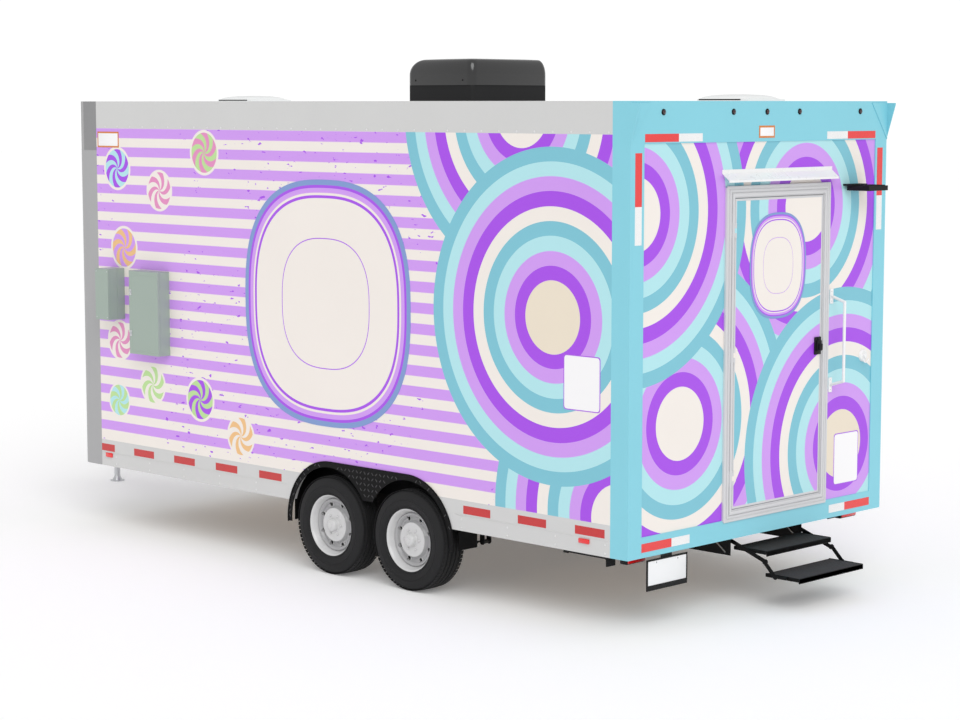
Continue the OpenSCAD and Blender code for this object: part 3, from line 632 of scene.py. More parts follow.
# Each strip is red towards the corner of the frame: header, posts and sill
for out in (-1, 1):
    for shape, low, high in ((rear_red, (1.166, 2.938), (0.856, 2.986)),
                             (rear_white, (0.856, 2.938), (0.632, 2.986)),
                             (rear_red, (1.191, 2.875), (1.252, 2.560)),
                             (rear_white, (1.191, 2.560), (1.252, 2.334)),
                             (rear_red, (1.170, 0.490), (0.890, 0.543)),
                             (rear_white, (0.890, 0.490), (0.718, 0.543))):
        shape.slab(rear_face, (out * low[0], low[1]), (out * high[0], high[1]), 0, tape_lift)
rear_red.piece("rear_red_tape", red_tape)
rear_white.piece("rear_white_tape", white_tape)

sticker_film = coating("sticker_white", tint(246, 245, 246), 0.3, 0.01, 0.01, coat_weight=0.3)
edge_film = coating("sticker_edge", tint(170, 88, 226), 0.3, 0.02, 0.01, coat_weight=0.3)
badge_film = coating("badge_orange", tint(214, 128, 62), 0.35, 0.05, 0.01)
stickers = Shape()
sticker_edges = Shape()


def rounded(low, high, radius, steps=6):
    """A round-cornered rectangle, from its last corner round."""
    outline = []
    for a, b, start in ((high[0] - radius, high[1] - radius, 0), (low[0] + radius, high[1] - radius, 90),
                        (low[0] + radius, low[1] + radius, 180), (high[0] - radius, low[1] + radius, 270)):
        for n in range(steps + 1):
            angle = math.radians(start + 90 * n / steps)
            outline.append((a + radius * math.cos(angle), b + radius * math.sin(angle)))
    return outline


for face, base, low, high in ((left_face, 0.0, (0.224, 1.323), (0.522, 1.660)),
                              (rear_face, -post_step, (-1.042, 0.667), (-0.770, 1.009))):
    outer = rounded(low, high, 0.02)
    middle = ((low[0] + high[0]) / 2, (low[1] + high[1]) / 2)
    inner = [(middle[0] + (a - middle[0]) * 0.955, middle[1] + (b - middle[1]) * 0.962) for a, b in outer]
    sticker_edges.plate(face, outer, base, base + 0.0005)
    stickers.plate(face, inner, base, base + 0.0009)
sticker_edges.piece("sticker_edges", edge_film)
stickers.piece("blank_stickers", sticker_film)
badges = Shape()
badge_faces = Shape()
inset = 0.012
for face, low, high in ((rear_face, (-0.080, 2.952), (0.080, 3.028)),
                        (left_face, (4.955, 2.842), (5.215, 2.958))):
    badges.slab(face, low, high, 0, 0.0012, 0.0005)
    badge_faces.slab(face, (low[0] + inset, low[1] + inset), (high[0] - inset, high[1] - inset),
                     0, 0.0018, 0.0003)
badges.piece("badge_backs", badge_film)
badge_faces.piece("badge_faces", sticker_film)

# ---- Blank sign boards ----
# A round-cornered sign on the left side and a small one on the door, cut from sheet
# and printed with a plain cream field inside coloured border lines. They are blank.
BORDER_BLUE = tint(122, 150, 205)
squareness = 2.6
board_points = 120
board_t = 0.002


def sign_print(name, axis, middle, halves):
    """The border lines follow the board's own edge inwards."""
    finish = Finish(name, coat_weight=0.3, coat_roughness=0.2)
    places = finish.axes()
    across = abs(places[axis] - middle[axis]) / halves[0]
    up = abs(places[2] - middle.z) / halves[1]
    near = (across ** squareness + up ** squareness) ** (1 / squareness)
    stops = [(0.0, CREAM), (0.520, PURPLE), (0.530, CREAM), (0.850, PURPLE), (0.872, CREAM),
             (0.892, LILAC), (0.930, PURPLE), (0.955, BORDER_BLUE)]
    return film(finish, finish.add("ShaderNodeValToRGB", {"stops": stops}, {0: near}))


def sign_board(name, face, axis, middle, halves, base, body):
    """A board between a rectangle and an oval, on a face that runs along that axis."""
    power = 2 / squareness
    outline = []
    for n in range(board_points):
        angle = math.tau * n / board_points
        c, s = math.cos(angle), math.sin(angle)
        outline.append((middle[0] + halves[0] * math.copysign(abs(c) ** power, c),
                        middle[1] + halves[1] * math.copysign(abs(s) ** power, s)))
    board = Shape()
    board.plate(face, outline, base, base + board_t)
    board.piece(name, sign_print(name, axis, face.at(*middle), halves), body)


leaf_t = 0.040
door_out = rear_x - (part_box("rear_door")[1].x - leaf_t)
sign_board("side_sign", left_face, 0, (2.69, 1.83), (0.83, 0.83), 0.0, "trailer")
sign_board("door_sign", rear_face, 1, (-0.125, 2.15), (0.29, 0.335), door_out, "rear_door")

# ---- Entry door ----
# The door wears the wrap and hangs in a drawn aluminium frame of stepped mouldings. A
# black paddle latch works it, a white grab handle and a hold-back ring stand beside
# it, and a white drip cap and a slim black floodlight stand over it.
aluminium = coating("door_aluminium", tint(212, 212, 214), 0.34, 0.02, 0.05, 60.0, metallic=0.15)
white_enamel = coating("white_enamel", tint(240, 240, 240), 0.28, 0.015, 0.03, coat_weight=0.3)
black_moulded = coating("black_moulded", tint(18, 18, 19), 0.55, 0.1, 0.12, 420.0,
                        specular_ior_level=0.25)
steel_bright = coating("bright_steel", tint(196, 198, 200), 0.25, 0.05, 0.03, 90.0, metallic=0.7)
seal_rubber = coating("seal_grey", tint(176, 176, 178), 0.7, 0.05, 0.1, 300.0)
wear(aluminium, "door_frame")
wear(white_enamel, "drip_hood", "grab_handle")
wear(black_moulded, "floodlight")

opening = ((-0.5955, 0.643), (0.3195, 2.587))
leaf = ((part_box("rear_door")[0].y - middle_y, 0.648), (0.3145, 2.582))
trim = Shape()
for start, width, rise in ((0.008, 0.020, 0.010), (0.036, 0.014, 0.006), (0.060, 0.014, 0.003)):
    end = start + width
    profile = [(start, -0.002), (start, rise - 0.001), (start + 0.002, rise), (end - 0.002, rise),
               (end, rise - 0.001), (end, -0.002)]
    trim.moulding(rear_face, *opening, [(u, h + door_out) for u, h in profile])
trim.piece("door_trim_steps", aluminium)
# A grey rubber strip fills the running gap round the leaf
seal = Shape()
seal.moulding(rear_face, *opening, [(-0.0042, -0.012), (-0.0042, 0.002), (-0.0022, 0.0035),
                                    (-0.0002, 0.002), (-0.0002, -0.012)])
seal.piece("door_seal", seal_rubber)

leaf_trim = Shape()
leaf_edge = [(-0.014, -0.002), (-0.014, 0.0008), (-0.012, 0.0015), (-0.001, 0.0015),
             (0.0, 0.0008), (0.0, -0.002)]
leaf_trim.moulding(rear_face, *leaf, [(u, h + door_out) for u, h in leaf_edge])
leaf_trim.piece("door_edge_trim", aluminium, "rear_door")

# The latch: backing plate, paddle, grip and lock barrel
latch = Shape()
latch.slab(rear_face, (-0.584, 1.553), (-0.516, 1.667), 0.006, 0.016, 0.004)
latch.slab(rear_face, (-0.574, 1.575), (-0.526, 1.645), 0.014, 0.030, 0.005)
latch.slab(rear_face, (-0.566, 1.582), (-0.534, 1.625), 0.028, 0.044, 0.006)
latch.turn(rear_face.at(-0.55, 1.656, 0.016), rear_face.out,
           [(0, 0), (0.008, 0), (0.008, 0.003), (0.006, 0.005), (0, 0.005)], 20)
latch_thing = latch.piece("door_latch", black_moulded, "rear_door")
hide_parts("door_handle")

hook = Shape()
hook_y = -1.074
hook.turn(rear_face.at(hook_y, 1.505, -post_step), rear_face.out,
          [(0, 0), (0.042, 0), (0.042, 0.006), (0.038, 0.012), (0.028, 0.014), (0.024, 0.010),
           (0.012, 0.010), (0.012, 0.024), (0, 0.026)], 32)
ring_r = 0.034
ring_z = 1.495
ring_path = []
for n in range(13):
    angle = math.radians(200 + n * 140 / 12)
    ring_path.append(rear_face.at(hook_y + ring_r * math.cos(angle),
                                  ring_z + ring_r * math.sin(angle), 0.022))
hook.rod(ring_path, 0.0045, 10)
hook.piece("door_holdback", white_enamel)

feet = Shape()
foot_spots = []
foot_y = -0.710
for z in (1.340, 1.920):
    feet.slab(rear_face, (-0.727, z - 0.042), (-0.693, z + 0.042), -post_step, 0.0, 0.0015)
    foot_spots += [(rear_face.at(foot_y, z + dz, 0.0), rear_face.turned()) for dz in (-0.032, 0.032)]
feet.piece("grab_handle_feet", white_enamel)
studs("grab_handle_screws", foot_spots, (0.005, 0.005, 0.0025), steel_bright)
screw_places = [(a, 0.72 + n * 0.23) for n in range(9) for a in (-0.640, 0.364)]
screw_places += [(-0.52 + n * 0.19, b) for n in range(5) for b in (2.632, 0.598)]
trim_screws = [(rear_face.at(a, b, door_out), rear_face.turned()) for a, b in screw_places]
studs("door_frame_screws", trim_screws, (0.0045, 0.0045, 0.0018), aluminium)

lamp_glass = coating("lamp_glass", tint(214, 220, 224), 0.15, 0.02, 0.02, coat_weight=0.6)
flood_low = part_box("floodlight")[0]
lamp_y = (middle_y - half_w + 0.250, middle_y - half_w + 0.460)
body_top = flood_low.z + 0.0335
fin_pitch = 0.0085
flood = Shape()
flood.brick((flood_low.x + 0.012, lamp_y[0] + 0.012, flood_low.z - 0.001),
            (rear_x - 0.030, lamp_y[1] - 0.012, flood_low.z + 0.002), 0.0008)
flood.piece("floodlight_lens", lamp_glass)
fins = [((flood_low.x + 0.016 + n * fin_pitch, sum(lamp_y) / 2, body_top), (0, 0, 0)) for n in range(14)]
studs("floodlight_fins", fins, (0.0018, 0.092, 0.003), black_moulded, block=True)

# ---- Rear lamps and number plate ----
# Five small clearance lamps along the header, a red lens in a rounded black housing
# under each post, small side markers on the rails, and a blank plate in a black frame.
dark_lens = coating("clearance_lens", tint(52, 10, 14), 0.12, 0.05, 0.02, coat_weight=0.8)
fluted = Finish("tail_lens", coat_weight=0.8, coat_roughness=0.08)
_, lens_y, lens_z = fluted.axes()
flutes_per_m = 160.0
flutes = abs((lens_y * flutes_per_m) % 1.0 - 0.5) + abs((lens_z * flutes_per_m) % 1.0 - 0.5)
tail_lens = fluted.done(fluted.shade(fluted.paint(tint(236, 22, 26)), flutes * 0.18 + 0.9),
                        flutes * 0.1 + 0.12, flutes * 0.5)
lens_dome = [(0, 0.002), (0.0135, 0.002), (0.0125, 0.008), (0.008, 0.012), (0, 0.0135)]
bezel = [(0, 0), (0.019, 0), (0.019, 0.003), (0.017, 0.005), (0.0145, 0.005), (0.0145, 0.003), (0, 0.003)]
clearance = Shape()
housing = Shape()
for a in (1.0, 0.335, 0.0, -0.335, -0.99):
    clearance.turn(rear_face.at(a, 3.114), rear_face.out, lens_dome, 24)
    housing.turn(rear_face.at(a, 3.114), rear_face.out, bezel, 24)
clearance.piece("clearance_lenses", dark_lens)

tail_low, tail_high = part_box("tail_lights")
lenses = Shape()
for out in (-1, 1):
    centre = 1.090 * out
    low_y, high_y = middle_y + centre - 0.086, middle_y + centre + 0.086
    housing.brick((tail_high.x, low_y - 0.004, tail_low.z),
                  (tail_low.x + 0.006, high_y + 0.004, tail_high.z), 0.010)
    lenses.brick((tail_low.x + 0.012, low_y + 0.006, tail_low.z + 0.007),
                 (tail_low.x, high_y - 0.006, tail_high.z - 0.004), 0.0055)
housing_thing = housing.piece("lamp_housings", black_moulded)
lenses.piece("tail_lenses", tail_lens)
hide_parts("tail_lights")

markers = Shape()
for face in side_faces:
    for low, high, z0, z1 in ((0.303, 0.389, 0.519, 0.549), (5.095, 5.176, 0.525, 0.558)):
        markers.slab(face, (low, z0), (high, z1), 0, 0.010, 0.004)
markers.piece("side_marker_lamps", tail_lens)

plate_white = coating("plate_white", tint(238, 239, 240), 0.35, 0.01, 0.02, coat_weight=0.2)
wear(black_moulded, "licence_plate")
plate_corners = ((0.749, 0.278), (1.108, 0.426))
plate = Shape()
plate.slab(rear_face, *plate_corners, -0.002, 0.0012, 0.0008)
plate.piece("blank_number_plate", plate_white)
plate_rim = Shape()
plate_rim.moulding(rear_face, *plate_corners, [(0, -0.002), (0, 0.002), (0.002, 0.0035),
                                               (0.008, 0.0035), (0.011, 0.002), (0.011, -0.002)])
plate_rim.piece("number_plate_frame", black_moulded)
plate_screws = [(rear_face.at(a, 0.414, 0.0012), rear_face.turned()) for a in (0.83, 1.03)]
studs("number_plate_screws", plate_screws, (0.006, 0.006, 0.003), steel_bright)

# ---- Folding steps ----
# Two black steel treads on links. Each tread has a gritted dark grey pad with a raised
# edge, and two plated stay rods brace each hanger plate.
step_black = coating("step_black", tint(13, 13, 14), 0.5, 0.1, 0.15, 300.0, specular_ior_level=0.2)
grit = Finish("step_grit", specular_ior_level=0.2)
speck = grit.noise(420.0, 3.0)
grain = grit.noise(60.0, 4.0)
step_grit = grit.done(grit.shade(grit.paint(tint(66, 66, 67)), speck * 0.5 + grain * 0.35 + 0.55),
                      speck * 0.3 + 0.65, speck * 0.9 + grain * 0.4)
wear(step_black, "step_mount", "upper_step", "lower_step")
step_middle = -0.270
tread_half = 0.340
tread_d = 0.265
pad_half = tread_half - 0.012
pad_t = 0.003
for name, front, top in (("upper_step", -0.100, 0.355), ("lower_step", -0.355, 0.215)):
    back = front + tread_d
    pad = Shape()
    pad.brick(spot(front + 0.010, step_middle - pad_half, top),
              spot(back - 0.010, step_middle + pad_half, top + pad_t), 0.0015)
    pad.piece(name + "_pad", step_grit, name)
    grip = []
    for row in range(7):
        for n in range(21):
            place = spot(front + 0.030 + row * 0.034, step_middle - 0.310 + n * 0.031, top + pad_t)
            grip.append((place, (0, 0, math.radians(45))))
    studs(name + "_grip", grip, (0.0055, 0.0055, 0.0014), step_grit, name, sides=6)
    lip = Shape()
    lip.brick(spot(front, step_middle - tread_half, top - 0.028),
              spot(front + 0.007, step_middle + tread_half, top + 0.004), 0.0025)
    for side in (-1, 1):
        lip.brick(spot(front + 0.003, step_middle + side * (tread_half - 0.007), top - 0.020),
                  spot(back, step_middle + side * tread_half, top + 0.004), 0.0015)
    lip.piece(name + "_lip", step_black, name)
# Both hanger plates carry their rods on the left, clear of the folded arms
stays = Shape()
hanger_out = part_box("step_mount")[1].y - middle_y
hanger_faces = (hanger_out - 0.034, 2 * step_middle - hanger_out + 0.040)
for face_y in hanger_faces:
    for top_x, low_x in ((0.370, 0.200), (0.400, 0.610)):
        stays.rod([spot(top_x, face_y + 0.004, 0.448), spot(low_x, face_y + 0.004, 0.318)], 0.0045, 8)
stays.piece("step_stay_rods", steel_bright)

# ---- Fenders ----
# Black rolled tread plate: an arch over both wheels with a beaded edge, and wells of
# the same plate. The raised lozenges stand in alternate directions.
tread_black = coating("tread_plate_black", tint(9, 9, 10), 0.5, 0.12, 0.1, 160.0, specular_ior_level=0.15)
# The lozenges are a lighter black than the plate they are pressed in: painted highlight on their raised
# tops
lozenge_highlight_black = coating("tread_lug_painted_highlight", tint(46, 46, 48), 0.3, 0.1, 0.05, 160.0, specular_ior_level=0.6)
wear(tread_black, "fenders")
hub_z = sum(corner.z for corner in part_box("tyre_front_left")) / 2
wheel_xs = [sum(corner.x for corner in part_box(name)) / 2 - rear_x
            for name in ("tyre_rear_left", "tyre_front_left")]
arch_shift = 0.030
skirt_r = wheel_xs[0] + arch_shift - arch[0]
skirt_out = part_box("fenders")[1].y - left_y
arch_xs = [x + arch_shift for x in wheel_xs]
band = 0.040
end_z = hub_z - 0.025
middle_z = hub_z + 0.205


def on_skirt(x, z, margin):
    """True where the skirt's sheet has room for a lozenge."""
    if z < end_z + margin:
        return False
    from_hub = min((x - centre) ** 2 + (z - hub_z) ** 2 for centre in arch_xs)
    between = arch_xs[0] < x < arch_xs[1]
    in_arch = from_hub < (skirt_r - margin) ** 2
    in_middle = between and z < hub_z + skirt_r - margin
    near_wheel = from_hub < (skirt_r - band + margin) ** 2
    under_middle = between and z < middle_z + margin
    return (in_arch or in_middle) and not near_wheel and not under_middle


lozenges = {1: [], -1: []}
lozenge_pitch = 0.038
for face in side_faces:
    for row in range(14):
        for n in range(44):
            x = arch[0] + n * lozenge_pitch
            z = end_z + row * lozenge_pitch
            if on_skirt(x, z, 0.012):
                lean = 1 if (row + n) % 2 else -1
                lozenges[lean].append((face.at(x, z, skirt_out), face.turned(math.radians(45 * lean))))
studs("fender_lozenges", lozenges[1] + lozenges[-1], (0.0150, 0.0044, 0.0024), lozenge_highlight_black,
      sides=6)

beads = Shape()
edge_r = skirt_r - 0.004
for face in side_faces:
    path = []
    for centre, start in zip(arch_xs, (184, 90)):
        for n in range(25):
            angle = math.radians(start - n * 94 / 24)
            x = centre + edge_r * math.cos(angle)
            path.append(face.at(x, hub_z + edge_r * math.sin(angle), skirt_out))
    beads.rod(path, 0.005, 8)
beads.piece("fender_beads", tread_black)

# ---- Wheels ----
# Four pressed steel wheels, painted silver white: a rolled rim, a stepped dish with
# eight holes and a flat middle with a hub cap. The dish is a darker silver, painted
# shade in its hollow. The tyres are plain trailer radials with a rounded shoulder,
# four grooves and rows of blocks.
tyre_finish = Finish("tyre_rubber", specular_ior_level=0.2)
dust = tyre_finish.noise(7.0, 4.0)
tyre_grain = tyre_finish.noise(300.0, 2.0)
tyre_tone = tyre_finish.shade(tyre_finish.paint(tint(36, 36, 37)), dust * 0.3 + tyre_grain * 0.15 + 0.75)
rubber = tyre_finish.done(tyre_tone, dust * 0.18 + 0.55, tyre_grain * 0.12)
wheel_white = coating("wheel_silver", tint(206, 206, 206), 0.26, 0.02, 0.04, 120.0, coat_weight=0.4)
# The dish is a darker silver than the rim and the flat middle: painted shade for the hollow of the dish
dish_shaded_silver = coating("dish_shaded_silver", tint(168, 168, 169), 0.3, 0.06, 0.04, 120.0, coat_weight=0.3)
# A brake drum behind the dish, near black and matt: a real part, and painted shade seen through the dish
# holes
shadow_black = coating("drum_shade_black", tint(30, 30, 31), 0.7, 0.1, 0.2, 120.0)


def counted_from(radius, along, outline):
    """An outline whose places are counted from that radius and that distance along the axle."""
    return [(radius + r, along + a) for r, a in outline]


def tyre_outline(radius, half, bead):
    """The tyre's section: bead, bulged side wall, round shoulder and grooved tread."""
    outer = counted_from(bead, half, [
        (0, -0.030), (0.004, -0.012), (0.014, -0.006), (0.018, -0.009), (0.030, -0.003), (0.050, 0),
        (0.060, 0), (0.062, -0.002), (0.066, -0.002), (0.068, -0.0005)])
    outer += counted_from(radius, half, [
        (-0.040, -0.004), (-0.022, -0.010), (-0.010, -0.020), (-0.003, -0.032)])
    tread = []
    groove = 0.0045
    for centre in (0.054, 0.018, -0.018, -0.054):
        tread += counted_from(radius, centre, [(-0.001, groove), (-0.009, groove * 0.6),
                                               (-0.009, -groove * 0.6), (-0.001, -groove)])
    return outer + tread + [(r, -along) for r, along in reversed(outer)]


# The rolled rim, counted from its lip: its outer and inner end, and round again inside
RIM_OUTER = [(0.006, -0.022), (0.006, -0.014), (0.001, -0.010), (-0.006, -0.012), (-0.013, -0.019),
             (-0.020, -0.030), (-0.026, -0.050), (-0.034, -0.062), (-0.038, -0.095)]
RIM_INNER = [(-0.038, 0.050), (-0.020, 0.035), (-0.006, 0.018), (0.004, 0.016), (0.004, 0.022),
             (-0.002, 0.024), (-0.014, 0.040), (-0.033, 0.055)]
RIM_BACK = [(-0.033, -0.098), (-0.029, -0.064), (-0.020, -0.052), (-0.012, -0.032), (-0.004, -0.024)]
# The pressed dish, counted from its edge: the face and the back, with a flat middle between
DISH_FACE = [(0, -0.030), (0, -0.010), (-0.006, -0.001), (-0.014, 0), (-0.022, -0.006), (-0.030, -0.020),
             (-0.040, -0.024), (-0.052, -0.020), (-0.062, -0.006), (-0.070, 0.002), (-0.078, 0.004)]
DISH_BACK = [(-0.076, -0.002), (-0.060, -0.013), (-0.051, -0.026), (-0.040, -0.030), (-0.028, -0.026),
             (-0.019, -0.013), (-0.010, -0.008), (-0.005, -0.014), (-0.005, -0.030)]
# The flat middle and its hub cap, the cap's button, and the collar round a hole
HUB_CAP = [(0, 0.044), (0.020, 0.044), (0.034, 0.042), (0.040, 0.037), (0.043, 0.030), (0.045, 0.012),
           (0.050, 0.007), (0.110, 0.0065), (0.114, 0.003), (0.114, 0), (0, 0)]
CAP_BUTTON = [(0, 0.0475), (0.018, 0.0465), (0.019, 0.043), (0, 0.043)]
HOLE_COLLAR = [(0.0150, -0.030), (0.0150, -0.019), (0.0163, -0.0172), (0.0181, -0.0175),
               (0.0197, -0.0225), (0.0197, -0.030)]
HOLE = [(0, -0.08), (0.0150, -0.08), (0.0150, 0.03), (0, 0.03)]
BRAKE_FACE = [(0, -0.034), (0.150, -0.034), (0.156, -0.040)]
BRAKE_BACK = [(0.156, -0.060), (0.150, -0.064), (0, -0.064)]
# Rows of tread blocks: the place across the tread, and how far below its top
TREAD_ROWS = [(0.078, 0.0042), (0.036, 0.0012), (0.0, 0.0012), (-0.036, 0.0012), (-0.078, 0.0042)]
hub_bore_r = 0.034
hole_count = 8
hole_in = 0.036
nut_circle_r = 0.070


def spokes(count, shift=0.0):
    """Directions from the axle outwards, evenly round the wheel."""
    angles = [math.tau * (n + shift) / count for n in range(count)]
    return [Vector((math.cos(angle), 0, math.sin(angle))) for angle in angles]


def drilled_dish(corner, body, centre, out, edge, face_at):
    """The dish with its holes cut right through."""
    dish = Shape()
    middle = counted_from(0, face_at, [(hub_bore_r, 0.004), (hub_bore_r, -0.002)])
    dish.turn(centre, out, counted_from(edge, face_at, DISH_FACE) + middle
              + counted_from(edge, face_at, DISH_BACK), 96, closed=True)
    dish_thing = dish.piece("dish_" + corner, dish_shaded_silver, body)
    cutter = Shape()
    for away in spokes(hole_count, 0.5):
        cutter.turn(centre + away * (edge - hole_in), out, counted_from(0, face_at, HOLE), 20)
    cutter_thing = cutter.piece("cutter_" + corner, wheel_white, body)
    cut = dish_thing.modifiers.new("holes", "BOOLEAN")
    cut.operation = "DIFFERENCE"
    cut.solver = "EXACT"
    cut.object = cutter_thing
    bpy.context.view_layer.update()
    graph = bpy.context.evaluated_depsgraph_get()
    drilled = bpy.data.meshes.new_from_object(dish_thing.evaluated_get(graph))
    bpy.data.objects.remove(cutter_thing)
    bpy.data.objects.remove(dish_thing)
    drilled.set_sharp_from_angle(angle=math.radians(35))
    place_piece("wheel_dish_" + corner, drilled, body)


def wheel_piece(corner):
    """One wheel's tyre, rim, dish, cap, nuts and drum, all about its own axle."""
    low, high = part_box("tyre_" + corner)
    centre = (low + high) / 2
    out = Vector((0, 1 if centre.y > middle_y else -1, 0))
    radius = (high.z - low.z) / 2
    half = (high.y - low.y) / 2
    rim_low, rim_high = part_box("rim_" + corner)
    rim_r = (rim_high.z - rim_low.z) / 2
    body = "wheel_" + corner
    tyre = Shape()
    tyre.turn(centre, out, tyre_outline(radius, half, rim_r - 0.012), 96, closed=True)
    tyre_thing = tyre.piece("tyre_" + corner + "_visual", rubber, body)
    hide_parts("tyre_" + corner)
    blocks = []
    for away in spokes(72):
        turn = Matrix((away.cross(out), out, away)).transposed().to_euler()
        for offset, drop in TREAD_ROWS:
            blocks.append((centre + out * offset + away * (radius - drop), turn))
    studs("tyre_" + corner + "_blocks", blocks, (0.0118, 0.0125, 0.0012), rubber, body,
          block=True)
    lip = rim_r - 0.002
    edge = lip - 0.034
    face_at = half - 0.052
    drilled_dish(corner, body, centre, out, edge, face_at)
    rim = Shape()
    rim.turn(centre, out, counted_from(lip, half, RIM_OUTER) + counted_from(lip, -half, RIM_INNER)
             + counted_from(lip, half, RIM_BACK), 96, closed=True)
    rim.turn(centre, out, counted_from(0, face_at, HUB_CAP), 96)
    rim.turn(centre, out, counted_from(0, face_at, CAP_BUTTON), 40)
    collar = counted_from(0, face_at, HOLE_COLLAR)
    for away in spokes(hole_count, 0.5):
        rim.turn(centre + away * (edge - hole_in), out, collar, 20, closed=True)
    rim_thing = rim.piece("rim_" + corner + "_visual", wheel_white, body)
    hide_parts("rim_" + corner)
    nuts = [(centre + away * nut_circle_r + out * (face_at + 0.008),
             Matrix((away.cross(out), away, out)).transposed().to_euler()) for away in spokes(6)]
    studs("wheel_nuts_" + corner, nuts, (0.0095, 0.0095, 0.009), wheel_white, body, sides=6)
    drum = Shape()
    drum.turn(centre, out, counted_from(0, face_at, BRAKE_FACE) + BRAKE_BACK, 64)
    drum.piece("brake_drum_" + corner, shadow_black, body)


for corner in ("front_left", "front_right", "rear_left", "rear_right"):
    wheel_piece(corner)

# ---- Chassis, axles and tongue ----
# Black-painted steel box section under the floor, with leaf springs on two beam axles,
# swing-down stabilisers and the A-frame tongue with its coupler and jack. The deck
# above is plywood.
chassis_black = coating("chassis_black", tint(24, 24, 25), 0.5, 0.15, 0.12, 140.0,
                        specular_ior_level=0.25)
spring_steel = coating("spring_steel", tint(48, 47, 46), 0.5, 0.2, 0.2, 90.0, metallic=0.4)
plated = coating("plated_steel", tint(206, 208, 210), 0.32, 0.06, 0.04, 70.0, metallic=0.6)
wear(chassis_black, "chassis_frame", "coupler", "jack_tube", "front_axle", "rear_axle", "spring_hangers",
     "stabiliser_mounts", "stabiliser_left", "stabiliser_right")
wear(spring_steel, "leaf_springs")
wear(plated, "jack_leg")
ply = Finish("floor_ply")
ply_x = ply.axes()[0]
sheet_w = 1.22
sheets = (ply_x / sheet_w) % 1.0
fibre = ply.noise(6.0, 6.0, (1, 12, 12))
ply_tone = ply.shade(ply.paint(tint(176, 148, 112)), fibre * 0.5 + 0.72 - (sheets < 0.004) * 0.4)
ply_floor = ply.done(ply_tone, fibre * 0.3 + 0.5, fibre * 0.4 - (sheets < 0.004) * 1.0)
wear(ply_floor, "floor_deck")

# U-bolts over each spring, through a plate below it
u_bolts = Shape()
bolt_spots = []
spring_y = 0.930
bolt_half = 0.034
bolt_low = 0.262
bolt_high = 0.372
for node in ("front_axle", "rear_axle"):
    low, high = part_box(node)
    axle_x = (low.x + high.x) / 2 - rear_x
    for y in (-spring_y, spring_y):
        for x in (axle_x - 0.046, axle_x + 0.046):
            loop = [spot(x, y - bolt_half, bolt_low), spot(x, y - bolt_half, bolt_high)]
            for n in range(1, 8):
                angle = math.radians(180 - n * 22.5)
                loop.append(spot(x, y + bolt_half * math.cos(angle), bolt_high + 0.010 * math.sin(angle)))
            loop += [spot(x, y + bolt_half, bolt_high), spot(x, y + bolt_half, bolt_low)]
            u_bolts.rod(loop, 0.006, 8)
            bolt_spots += [(spot(x, y + dy, bolt_low), (0, 0, 0)) for dy in (-bolt_half, bolt_half)]
        u_bolts.brick(spot(axle_x - 0.062, y - 0.046, bolt_low),
                      spot(axle_x + 0.062, y + 0.046, bolt_low + 0.008), 0.002)
u_bolts.piece("spring_u_bolts", spring_steel)
studs("spring_nuts", bolt_spots, (0.011, 0.011, 0.010), spring_steel, sides=6)

# The coupler's latch: its block, lever and pin
back_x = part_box("coupler")[0].x
top_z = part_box("coupler")[1].z
latch = Shape()
latch.brick((back_x + 0.050, middle_y - 0.010, top_z - 0.004),
            (back_x + 0.120, middle_y + 0.010, top_z + 0.016), 0.003)
latch.rod([(back_x + 0.110, middle_y, top_z + 0.008), (back_x + 0.060, middle_y, top_z + 0.026),
           (back_x - 0.010, middle_y, top_z + 0.038)], 0.007, 10)
latch.rod([(back_x + 0.096, middle_y + dy, top_z + 0.004) for dy in (-0.020, 0.020)], 0.004, 8)
latch.piece("coupler_latch", plated)
collar = Shape()
jack_x = sum(corner.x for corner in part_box("jack_leg")) / 2
for z in (0.556, 1.020):
    collar.turn((jack_x, middle_y, z), (0, 0, 1),
                [(0.0295, 0), (0.036, 0.002), (0.036, 0.014), (0.0295, 0.016)], 40, closed=True)
collar.piece("jack_collars", chassis_black)

# ---- Roof ----
# A white coated roof with taped seams, two vents with low moulded lids, and the air
# conditioner: a glossy black moulded cover over a matt shroud with a louvred front.
roof_white = coating("roof_white", tint(236, 237, 238), 0.5, 0.04, 0.15, 90.0)
vent_plastic = coating("vent_plastic", tint(244, 246, 246), 0.32, 0.02, 0.05, 240.0, coat_weight=0.3)
cover_black = coating("ac_cover", tint(18, 18, 19), 0.22, 0.1, 0.05, 60.0, coat_weight=0.8,
                      coat_roughness=0.12)
shroud_black = coating("ac_shroud", tint(30, 30, 31), 0.6, 0.1, 0.25, 420.0, specular_ior_level=0.25)
wear(roof_white, "roof_panel")
wear(vent_plastic, "roof_vents")
seams = Shape()
seam_count = 4
for n in range(1, seam_count + 1):
    x = body_l * n / (seam_count + 1)
    seams.slab(roof_face, (x - 0.045, -half_w + 0.06), (x + 0.045, half_w - 0.06), 0.0, 0.0022, 0.001)
for y in (-(half_w - 0.055), half_w - 0.055):
    seams.slab(roof_face, (0.06, y - 0.012), (body_l - 0.06, y + 0.012), 0.0, 0.004, 0.0018)
seams.piece("roof_seam_tape", roof_white)


def level_ring(low, high, radius, z):
    """A round-cornered rectangle at one height."""
    return [Vector((x, y, z)) for x, y in rounded(low, high, radius)]


ac_low, ac_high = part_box("air_conditioner")
shroud_top = ac_low.z + 0.118
ac_y = (ac_low.y + ac_high.y) / 2
shoulder_z = ac_low.z + 0.185
crown = ac_high.z - 0.004 - shoulder_z


def pulled_in(low, high, back, front, side):
    """The rectangle between two corners, with its ends and its sides pulled in."""
    return (low.x + back, low.y + side), (high.x - front, high.y - side)


